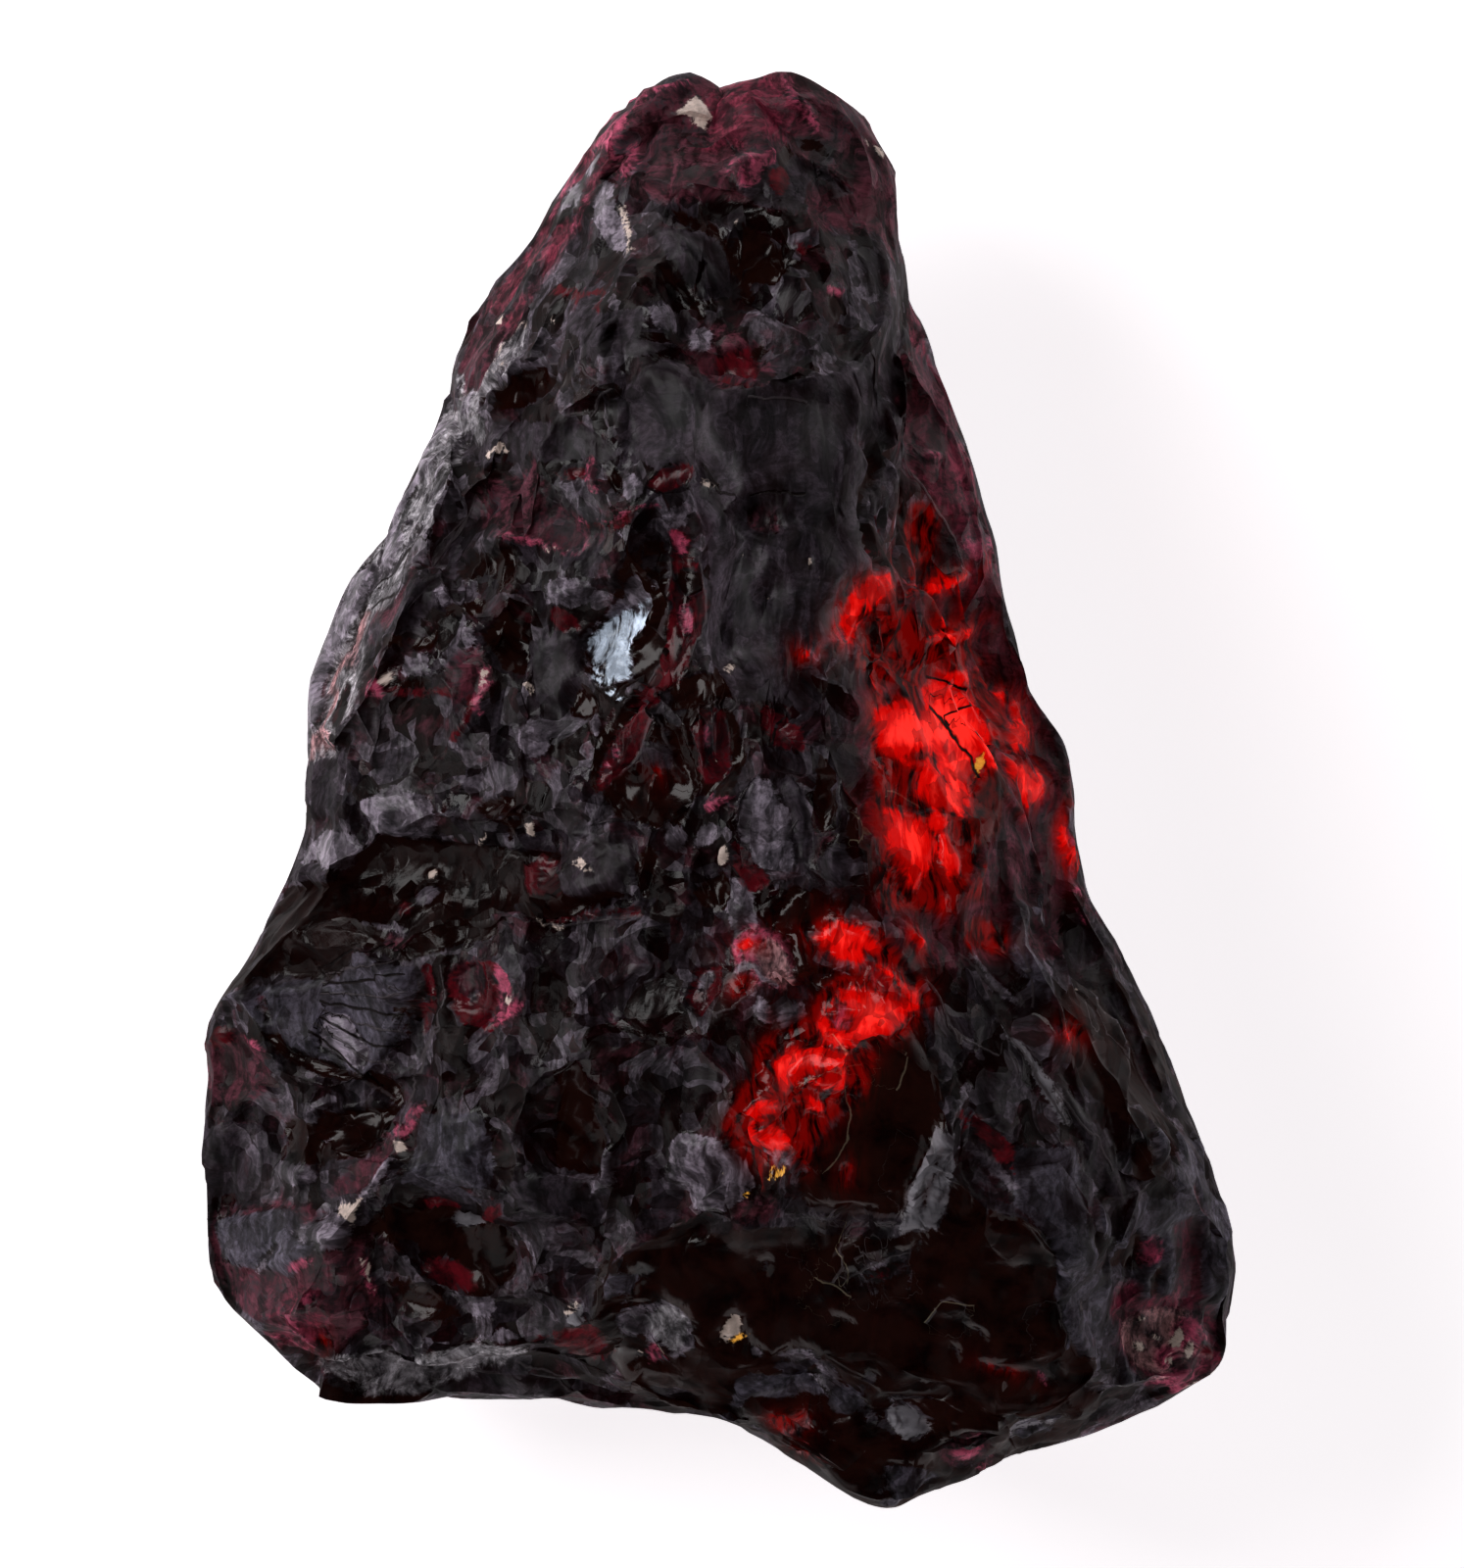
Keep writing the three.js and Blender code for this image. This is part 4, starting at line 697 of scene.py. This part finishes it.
rose(oval(-11.6, -13.3, 0.3, 0.12, 30))
ember(oval(-11.3, -15.6, 0.18, 0.26), 0.1)
pale(streak(0.08, (-10.05, -13.15), (-9.9, -13.6), (-9.78, -14.1)))
rose(oval(-9.9, -13.65, 0.14, 0.55, 15))
pale(streak(0.05, (-9.93, -13.3), (-9.83, -13.8)))
dark(oval(-8.9, -12.3, 0.9, 0.55, -10), 0.5, 0.1, 90)
dark(oval(-7.4, -13, 1.7, 1.1, -10), 0.45, 0.1, 90)
wine(oval(-7.8, -11.7, 0.5, 0.16, -5), 0.2)
wine(oval(-6.3, -11.9, 0.3, 0.2, 30), 0.1)
wine(oval(-7.6, -13.5, 0.8, 0.4, -10), 0.5)
slate(oval(-7.15, -12.25, 0.42, 0.22, 15), 0.2)
light(oval(-6.9, -14.4, 0.6, 0.42, -20), 0.15, 0.1, 90)
grey(oval(-8.6, -12.9, 0.4, 0.3), 0.3)
for step in range(5):
    dark(streak(0.045, (-9.3 + 0.24 * step, -13.9), (-8.3 + 0.26 * step, -15)), 0.1)
# The satin band is a painted reflection of the white table on the steep lower edge.
satin_sheen(panel((-11.4, -16.2), (-10.7, -15.95), (-9, -15.95), (-8, -15.85), (-6.9, -15.65), (-5.8, -15.7),
    (-5.9, -16.2), (-7, -16.4), (-8, -16.9), (-9, -17), (-10.5, -16.8)))
dark(streak(0.03, (-10.9, -16.2), (-9.6, -16.35), (-8, -16.25), (-7, -16)))
grey(streak(0.07, (-10.6, -16.6), (-9.2, -16.75), (-7.6, -16.6)))
grey(panel((-8, -17), (-7, -16.45), (-6, -16.2), (-5.3, -16.4), (-4.3, -17), (-4.2, -17.6), (-8, -17.6)))
dark(panel((-11.6, -16.6), (-10.6, -16.9), (-8.2, -17.05), (-8.2, -17.8), (-11.8, -17.8)))
light(panel((-7, -15.5), (-6, -15.1), (-5.7, -15.4)), 0.05)
ridge((-5.6, -16.2), (-4.7, -16.6), (-4.1, -17.1))
ridge((-11.2, -16.2), (-9.8, -16.3), (-8, -16.4), (-6.4, -16.1))
ridge((-10.6, -16.6), (-9.2, -16.7), (-7.8, -16.6))
wine(streak(0.12, (-4.7, -15.2), (-4.1, -15.2), (-3.7, -15.6)), 0.1)
wine(oval(-5.2, -15.4, 0.3, 0.12, 10), 0.1)

# Small things in the lower window and along its rim
steel(panel((-3.2, -13.7), (-2.2, -13.5), (-2.4, -14.1), (-3, -14.3)), 0, 0.1, 200)
slate(panel((-4.35, -14.75), (-3.8, -14.35), (-3.75, -14.9), (-4.1, -15)))
wine(panel((-4.8, -15.3), (-3.6, -15.1), (-2.9, -15.7), (-3.6, -16.1), (-4.6, -15.8)), 0.1)
gold(oval(-2.2, -13.5, 0.16, 0.05, -60))
gold(oval(0.45, -15.25, 0.2, 0.07, 40))
steel(panel((0.6, -16.2), (1.6, -16), (2.3, -16.2), (2.9, -16.9), (2, -16.9), (1, -16.9), (0.3, -17.3),
    (0.2, -16.9)), -0.1, 0.1, 80)
light(streak(0.12, (1.6, -15.8), (2.4, -15.9), (3, -16.4), (3.2, -17)), -0.1)
steel(panel((3.1, -16.6), (3.9, -16.7), (4.1, -17.3), (3.4, -17.6), (3, -17.2)), -0.1, 0.15, 200)
slate(panel((4.6, -17.2), (5.2, -17.2), (5.9, -17.9), (5.2, -18.2), (4.7, -17.8)), -0.1, 0.2, 120)
ember(oval(2, -17.6, 0.42, 0.26))
blush(panel((1.7, -17.4), (2.3, -17.35), (2.45, -17.65), (2.15, -17.9)))
steel(panel((7.9, -17.8), (9, -17.7), (9.2, -18.2), (8.3, -18.5)), -0.1, 0.2, 100)
slate(streak(0.06, (8, -18), (8.6, -17.95), (9, -18.1)))
steel(panel((4.4, -19), (5.6, -18.9), (6.2, -19.3), (5, -19.8)), -0.1, 0.2, 100)
FLECKS = ((4.2, -13.1), (4.7, -12.95), (7.4, -12.7), (8.3, -13.3), (6.4, -15.8), (7.1, -15.2), (3.4, -14.8),
    (1.3, -13.4), (8.9, -14.6))
for x, y in FLECKS:
    grey(oval(x, y, 0.12, 0.06, 47 * x))
light(streak(0.05, (3.9, -13.4), (4.5, -13.2), (5.1, -13.15)))
grey(streak(0.06, (3.9, -13.7), (4.4, -13.6), (5, -13.4), (5.4, -12.9)))
light(oval(8.1, -10.9, 0.3, 0.1, -50))

# Lint caught on the stone
lint((3.1, -6.6), (3.4, -7.2), (3.5, -8), (3.6, -9), (3.5, -9.9), (3, -10.7))
lint((2, -8.2), (2.9, -7.9), (3.9, -7.9))
lint((5.2, -7.3), (5, -8), (4.8, -8.5))
lint((4.6, -0.2), (5, -0.25), (5.4, -0.5))
lint((3.6, -0.7), (4, -1), (4.1, -1.3), (3.9, -1.5), (3.6, -1.5))
lint((3.4, -12), (3.3, -12.6), (3.5, -13.2), (3.5, -13.6))
lint((2.7, -13.5), (3.1, -13.7), (3.6, -14))
lint((5.7, -14.8), (5.9, -14.4))
lint((6.1, -14.2), (6.9, -14.3))

# Random chips everywhere else: hollow, tipped floors, the deepest one winning
CALM = 0.08  # what is left of the chips on a cleaved face
SMOOTH = ("grey", "steel", "light", "dark", "glow", "wine", "slate", "pale", "rose")
CHIP_DEPTH = 0.26
DEEPEST = 0.5  # no chip is struck deeper than this
PROUD = 0.06  # the skin stands out by this much first, and by SIDE_PROUD more on the sides
SIDE_PROUD = 0.07
BACK = 1.2  # nothing is struck off the flat back, and the full depth only from this height up


def chips(stretch, size, hollow, slope, salt):
    """How deep the deepest chip at each place is."""
    spot = places / size / stretch
    cell = np.floor(spot)
    best = np.full(len(places), -FAR)
    for i in (-1, 0, 1):
        for j in (-1, 0, 1):
            for k in (-1, 0, 1):
                corner = cell + (i, j, k)
                give = [shaken(*corner.T, salt + n) for n in range(7)]
                away = spot - corner - np.stack(give[:3], axis=1)
                tip = (np.stack(give[3:6], axis=1) - 0.5) * 2 * slope
                depth = 0.4 * give[6] - hollow * (away**2).sum(axis=1) + (away * tip).sum(axis=1)
                best = np.maximum(best, depth)
    return best * size


smoothed = np.maximum.reduce([tones[name] for name in SMOOTH])
struck = 1 - (1 - CALM) * np.clip(smoothed / 0.3 + 0.4, 0, 1)
struck = np.maximum(struck, 1 - facing)
coarse = chips((1, 1.25, 1), size=1.5, hollow=0.35, slope=0.5, salt=10)
fine = chips((1, 1.1, 1), size=0.65, hollow=0.4, slope=0.6, salt=30)
chipped = struck * (1 - 0.4 * steep) * (CHIP_DEPTH * (coarse + 0.1) + CHIP_DEPTH * (fine + 0.05))
resting = np.clip(places[:, 2] / BACK, 0, 1)
sunk = (dug * facing + np.clip(chipped, 0, DEEPEST) - PROUD - SIDE_PROUD * steep) * resting
raised = laid - outward * sunk[:, None]

# The sides swell a little in places: which side, the middle and reach along Y, and by how much
SWELLINGS = ((-1, 18, 2.6, 0.4), (1, 18, 2.6, 0.4), (-1, 13.2, 4, 0.3), (1, 14, 2, 0.2), (-1, -5, 3, 0.3),
             (-1, -12, 6, 0.2), (1, -4, 6, 0.12), (1, -16.8, 1.8, 0.55))
for side, middle, reach, by in SWELLINGS:
    near = np.clip(1.4 - 1.4 * np.abs(places[:, 1] - middle) / reach, 0, 1)
    raised[:, 0] += side * by * near * np.maximum(outward[:, 0] * side, 0)
stone.data.vertices.foreach_set("co", (raised * MM).ravel())
stone.data.update()
bpy.ops.object.shade_smooth_by_angle(angle=math.radians(30))


def drift(salt):
    """Smooth noise of three sizes, which bends the grain and the veins as grown crystal is bent."""
    return 0.36 * wander(1, salt) + 0.1 * wander(0.5, salt + 1) + 0.03 * wander(0.25, salt + 2)


# The sides are worn dull, apart from their light faces.
worn = np.clip((0.74 - outward[:, 2]) / 0.25, 0, 1) * np.clip(0.5 - tones["light"] * 2, 0, 1)
grown = stone.data.attributes.new("grown", "FLOAT_VECTOR", "POINT")
grown.data.foreach_set("vector", (places + np.stack([drift(salt) for salt in (50, 55, 60)], axis=1)).ravel())
amounts = {**tones, "struck": struck, "worn": worn, "halo": halo}
for kind in LINES:
    amounts[f"{kind}_side"] = line_side[kind]
    amounts[f"{kind}_on"] = line_on[kind]
for name, amount in amounts.items():
    layer = stone.data.attributes.new(name, "FLOAT", "POINT")
    layer.data.foreach_set("value", np.clip(amount, -1, 1))

# The finish: glassy broken crystal, darkest where it is clear and deep
crystal = bpy.data.materials.new("painite_crystal")
crystal.use_nodes = True
web = crystal.node_tree
web.nodes.clear()


def add(kind, inputs=None, **settings):
    """A node with its settings and inputs filled in; an input can be a value or another node's output."""
    node = web.nodes.new(kind)
    for key, value in settings.items():
        setattr(node, key, value)
    for key, value in (inputs or {}).items():
        if isinstance(value, bpy.types.NodeSocket):
            web.links.new(value, node.inputs[key])
        else:
            node.inputs[key].default_value = value
    return node


def reckon(how, a, b=0.0):
    return add("ShaderNodeMath", {0: a, 1: b}, operation=how).outputs[0]


def plus(a, b):
    return reckon("ADD", a, b)


def less(a, b):
    return reckon("SUBTRACT", a, b)


def times(a, b):
    return reckon("MULTIPLY", a, b)


def between(value, low, high):
    """0 below low, 1 above high."""
    ends = {"Value": value, "From Min": low, "From Max": high}
    return add("ShaderNodeMapRange", ends, interpolation_type="SMOOTHSTEP").outputs[0]


def blended(share, a, b):
    return add("ShaderNodeMix", {0: share, 2: a, 3: b}, data_type="FLOAT").outputs[0]


def mixed(share, a, b):
    return add("ShaderNodeMix", {0: share, 6: a, 7: b}, data_type="RGBA").outputs[2]


def read(name):
    return add("ShaderNodeAttribute", attribute_name=name).outputs["Fac"]


def vectors(how, a, b=(0, 0, 0)):
    return add("ShaderNodeVectorMath", {0: a, 1: b}, operation=how).outputs[0]


def scaled(vector, by):
    return add("ShaderNodeVectorMath", {0: vector, 3: by}, operation="SCALE").outputs[0]


def noise(vector, scale, detail, rough):
    inputs = {"Vector": vector, "Scale": scale, "Detail": detail, "Roughness": rough}
    return add("ShaderNodeTexNoise", inputs).outputs["Fac"]


bent = add("ShaderNodeAttribute", attribute_name="grown").outputs["Vector"]


def grains(scale, salt):
    """Crushed crystal: grains with straight sides, each with its own tones and its own tilt."""
    moved = vectors("ADD", bent, (salt, salt * 0.7, -salt))
    grain = add("ShaderNodeTexVoronoi", {"Vector": moved, "Scale": scale}, feature="F1").outputs["Color"]
    return add("ShaderNodeSeparateColor", {0: grain}).outputs, vectors("SUBTRACT", grain, (0.5, 0.5, 0.5))


def strands(turn, narrow, detail, rough):
    """Noise in long strands, turned by so many degrees; narrow is how fine it is along X, Y and Z."""
    inputs = {"Vector": bent, "Rotation": (0, 0, math.radians(turn)), "Scale": narrow}
    return noise(add("ShaderNodeMapping", inputs).outputs[0], 1.0, detail, rough)


big, big_tilt = grains(1.0, 7.0)
small, small_tilt = grains(2.4, 11.0)
speck = noise(bent, 5.0, 3.0, 0.75)
mottle = noise(bent, 0.9, 4.0, 0.65)
fibre = strands(-28, (3.2, 0.5, 1.5), 2.0, 0.6)
veins = strands(-12, (4.5, 0.8, 2), 3.0, 0.65)
wobble = times(less(plus(mottle, speck), 1.0), 0.34)

# Satin, blush and sheen are painted reflections: bright tones for patches that on the real stone are only
# light reflected off its faces.
COLOURS = {
    "black": (0.01, 0.0012, 0.001, 1),
    "dusk": (0.15, 0.045, 0.068, 1),
    "grey": (0.075, 0.059, 0.076, 1),
    "light": (0.35, 0.3, 0.36, 1),
    "dark": (0.01, 0.0008, 0.0005, 1),
    "pit": (0.01, 0.0008, 0.0005, 1),
    "steel": (0.145, 0.13, 0.168, 1),
    "slate": (0.42, 0.4, 0.44, 1),
    "satin_sheen": (0.5, 0.47, 0.5, 1),
    "blush": (0.62, 0.36, 0.38, 1),
    "wine": (0.075, 0.004, 0.01, 1),
    "maroon": (0.27, 0.05, 0.085, 1),
    "rose": (0.5, 0.12, 0.2, 1),
    "ember": (0.03, 0.001, 0.0005, 1),
    "glow": (0.25, 0.004, 0.002, 1),
    "pale": (0.8, 0.66, 0.61, 1),
    "sheen": (0.8, 0.88, 1, 1),
    "gold": (0.9, 0.55, 0.2, 1),
}
# The grain has tones of its own away from the marks: each is a pattern, where that starts and is full, how
# much it covers, and the tone.
GRAIN_TONES = (
    (big[0], 0.4, 0.44, 1, "grey"),
    (big[1], 0.72, 0.76, 0.5, "light"),
    (small[0], 0.66, 0.7, 0.65, "black"),
    (small[2], 0.9, 0.92, 0.6, "light"),
    (small[1], 0.93, 0.95, 0.8, "wine"),
    (fibre, 0.58, 0.62, 0.6, "black"),
    (mottle, 0.55, 0.62, 0.5, "dusk"),
)
skin = COLOURS["black"]
for pattern, start, full, cover, tone in GRAIN_TONES:
    skin = mixed(times(between(pattern, start, full), cover), skin, COLOURS[tone])

torn = plus(0.3, times(between(plus(speck, fibre), 0.84, 1.08), 0.7))
CRISP = (0.035, 1)  # half the width of an area's edge, and how much of the area its tone covers
EDGES = {
    "dusk": (0.14, torn),
    "maroon": (0.22, plus(0.35, times(torn, 0.65))),
    "wine": (0.06, plus(0.45, times(torn, 0.55))),
    "rose": (0.09, torn),
    "ember": (0.14, 1),
    "glow": (0.06, 1),
    "blush": (0.1, plus(0.3, times(torn, 0.6))),
    "sheen": (0.05, between(veins, 0.36, 0.5)),
    "satin_sheen": (0.1, plus(0.5, times(between(speck, 0.3, 0.7), 0.45))),
    "slate": (0.04, plus(0.5, between(fibre, 0.3, 0.6))),
}
shares = {}
for name in TONES:
    half, cover = EDGES.get(name, CRISP)
    shares[name] = times(between(plus(read(name), wobble), -half, half), cover)
    skin = mixed(shares[name], skin, COLOURS[name])

# Every tone is darker in some grains, strands and specks than in others, and the plainest tones least.
coarser = less(1.0, times(between(small[1], 0.58, 0.64), 0.5))
streaky = plus(0.3, between(fibre, 0.3, 0.62))
uneven = times(times(coarser, streaky), plus(0.4, between(speck, 0.3, 0.72)))
plain = plus(times(shares["rose"], 0.5), reckon("MAXIMUM", shares["pale"], shares["slate"]))
uneven = plus(uneven, times(less(0.95, uneven), times(plain, 0.6)))
skin = scaled(skin, uneven)

THIN = {"ridge": 0.032, "crack": 0.032, "lint": 0.02}  # half a thin line's width
masks = {}
for kind, half in THIN.items():
    off = reckon("ABSOLUTE", plus(read(f"{kind}_side"), times(wobble, 0.15)))
    masks[kind] = times(between(off, half * 1.6, half * 0.4), between(read(f"{kind}_on"), 0.4, 0.6))
# Ridges are drawn lighter, a painted highlight along each edge; cracks are drawn black, and lint in its own
# colour.
skin = mixed(times(masks["ridge"], 0.75), skin, (0.13, 0.11, 0.12, 1))
skin = mixed(masks["crack"], skin, COLOURS["black"])
skin = mixed(times(masks["lint"], 0.8), skin, (0.32, 0.28, 0.2, 1))

# Emission stands in for light that comes through the crystal: bright and veined in a glow, dim in an ember,
# and faint in the other tones. Satin and blush have some too, although they only reflect on a real stone.
depth_in = plus(read("glow"), times(less(veins, 0.5), 1.6))
bright = mixed(between(depth_in, -0.25, 0.15), (0.07, 0.0005, 0.0005, 1), (0.6, 0.002, 0.001, 1))
bright = mixed(between(depth_in, 0.2, 0.7), bright, (1.15, 0.05, 0.035, 1))
bright = mixed(times(between(small[0], 0.6, 0.68), 0.5), bright, (0.12, 0, 0, 1))
dim = mixed(between(veins, 0.36, 0.6), (0.006, 0, 0, 1), (0.2, 0.001, 0.0005, 1))
faint = mixed(between(mottle, 0.35, 0.65), (0.0008, 0.0001, 0.0001, 1), (0.004, 0.0003, 0.0003, 1))
THROUGH = {
    "dusk": (0.024, 0.003, 0.005, 1),
    "wine": (0.08, 0.004, 0.008, 1),
    "rose": (0.15, 0.022, 0.045, 1),
    "maroon": (0.06, 0.008, 0.018, 1),
    "dark": (0.0125, 0.003, 0.002, 1),
    "pit": (0.008, 0.002, 0.0015, 1),
    "blush": (0.125, 0.065, 0.066, 1),
    "satin_sheen": (0.13, 0.12, 0.13, 1),
}
for name, colour in THROUGH.items():
    faint = mixed(times(shares[name], between(mottle, 0.32, 0.68)), faint, colour)
spread = times(times(read("halo"), read("halo")), between(veins, 0.3, 0.62))
faint = mixed(reckon("MINIMUM", spread, 1.0), faint, (0.32, 0.002, 0.001, 1))
lit = mixed(shares["glow"], mixed(shares["ember"], faint, dim), bright)
# The same goes for cream grains, the bluish flake and gold: on a real stone their shine is a reflection.
GLINTS = {"pale": (0.11, 0.088, 0.076, 1), "sheen": (0.25, 0.28, 0.33, 1), "gold": (0.5, 0.25, 0.03, 1)}
for name, colour in GLINTS.items():
    lit = mixed(shares[name], lit, colour)
lit = mixed(masks["crack"], lit, (0, 0, 0, 1))

ROUGH = {"dusk": 0.45, "grey": 0.42, "steel": 0.42, "light": 0.32, "dark": 0.16, "pit": 0.26, "wine": 0.22,
         "maroon": 0.35, "rose": 0.35, "blush": 0.5, "ember": 0.2, "glow": 0.22, "slate": 0.4, "satin_sheen": 0.5,
         "pale": 0.35, "sheen": 0.3, "gold": 0.3}
rough = plus(0.14, times(big[1], 0.34))
for name in TONES:
    rough = blended(shares[name], rough, ROUGH[name])
rough = blended(times(read("worn"), 0.85), rough, 0.8)

# Relief too fine for the mesh: specks, raised ridges and open cracks, and a tilt of its own for each grain
crushed = between(read("struck"), 0, 1)
height = times(speck, plus(0.005, times(crushed, 0.015)))
height = plus(height, times(masks["ridge"], 0.03))
height = less(height, times(masks["crack"], 0.06))
bump = add("ShaderNodeBump", {"Strength": 0.7, "Distance": MM, "Height": height}).outputs[0]
tilting = times(plus(0.22, crushed), less(0.4, times(shares["dark"], 0.22)))
tilting = reckon("MAXIMUM", tilting, times(read("worn"), 0.42))
tilt = scaled(vectors("ADD", big_tilt, scaled(small_tilt, 0.75)), tilting)
facet = vectors("NORMALIZE", vectors("ADD", bump, tilt))
shell = add("ShaderNodeBsdfPrincipled", {
    "Base Color": skin,
    "Roughness": rough,
    "IOR": 1.38,
    "Normal": facet,
    "Emission Color": lit,
    "Emission Strength": 1.0,
})
add("ShaderNodeOutputMaterial", {"Surface": shell.outputs[0]})
crystal.cycles.emission_sampling = "NONE"
stone.data.materials.append(crystal)
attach(stone, "root")
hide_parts("painite_stone")


# ---- The table: a plain white sheet ----
# Matt white card that glows evenly, as a light table does. It is wide enough to fill the view, lights the
# stone's sides from below, and lies just under the stone's flat back.
GAP = 0.02 * MM
bpy.ops.object.select_all(action="DESELECT")
bpy.ops.mesh.primitive_plane_add(size=3, location=(0, 0, -GAP))
table = bpy.context.object
table.name = "white_table"
card = bpy.data.materials.new("white_card")
card.use_nodes = True
paper = card.node_tree.nodes["Principled BSDF"].inputs
paper["Base Color"].default_value = (0.93, 0.92, 0.925, 1)
paper["Roughness"].default_value = 0.9
paper["IOR"].default_value = 1.2
paper["Emission Color"].default_value = (1, 0.97, 0.985, 1)
paper["Emission Strength"].default_value = 0.86
card.cycles.emission_sampling = "NONE"
table.data.materials.append(card)


# ---- The light: soft boxes round a dark room ----
# The strongest stands at the upper left. The others only fill the sides, and the room itself is nearly
# dark.
sky = bpy.data.worlds.new("room")
bpy.context.scene.world = sky
sky.use_nodes = True
sky.node_tree.nodes["Background"].inputs["Color"].default_value = (0.9, 0.93, 1, 1)
sky.node_tree.nodes["Background"].inputs["Strength"].default_value = 0.03
FAR_OFF = 0.6  # metres from the stone to each soft box


def soft_box(name, turn, rise, size, bright):
    """A square soft box at an angle round the stone and a height above the table, in degrees."""
    lamp = bpy.data.lights.new(name, "AREA")
    lamp.shape = "SQUARE"
    lamp.size = size
    lamp.energy = bright * math.pi * size**2
    holder = bpy.data.objects.new(name, lamp)
    bpy.context.scene.collection.objects.link(holder)
    t, r = math.radians(turn), math.radians(rise)
    flat = FAR_OFF * math.cos(r)
    holder.location = (flat * math.cos(t), flat * math.sin(t), FAR_OFF * math.sin(r))
    holder.rotation_euler = holder.location.to_track_quat("Z", "Y").to_euler()


soft_box("box_key", 155, 38, 0.3, 5.5)
soft_box("box_left", 205, 20, 0.34, 0.8)
soft_box("box_right", 20, 20, 0.34, 0.5)
soft_box("box_low", 290, 20, 0.34, 0.09)
soft_box("box_back", 75, 20, 0.34, 0.8)


# ---- The camera ----
# It looks straight down on the stone's broad front, and its frame is set at the level of the stone's rim.
HEIGHT = 0.6
VIEW = 0.044  # metres up the frame, level with the rim
RIM_LEVEL = 0.006
AIM_X, AIM_Y = 0.3 * MM, 0.1 * MM  # the point that the camera is above
SENSOR = 24
lens = bpy.data.cameras.new("camera")
eye = bpy.data.objects.new("camera", lens)
bpy.context.scene.collection.objects.link(eye)
lens.sensor_fit = "VERTICAL"
lens.sensor_height = SENSOR
lens.lens = SENSOR * (HEIGHT - RIM_LEVEL) / VIEW
eye.location = (AIM_X, AIM_Y, HEIGHT)
bpy.context.scene.camera = eye
bpy.context.scene.view_settings.view_transform = "Standard"
bpy.context.scene.view_settings.gamma = 0.8  # prints the dark tones a little darker
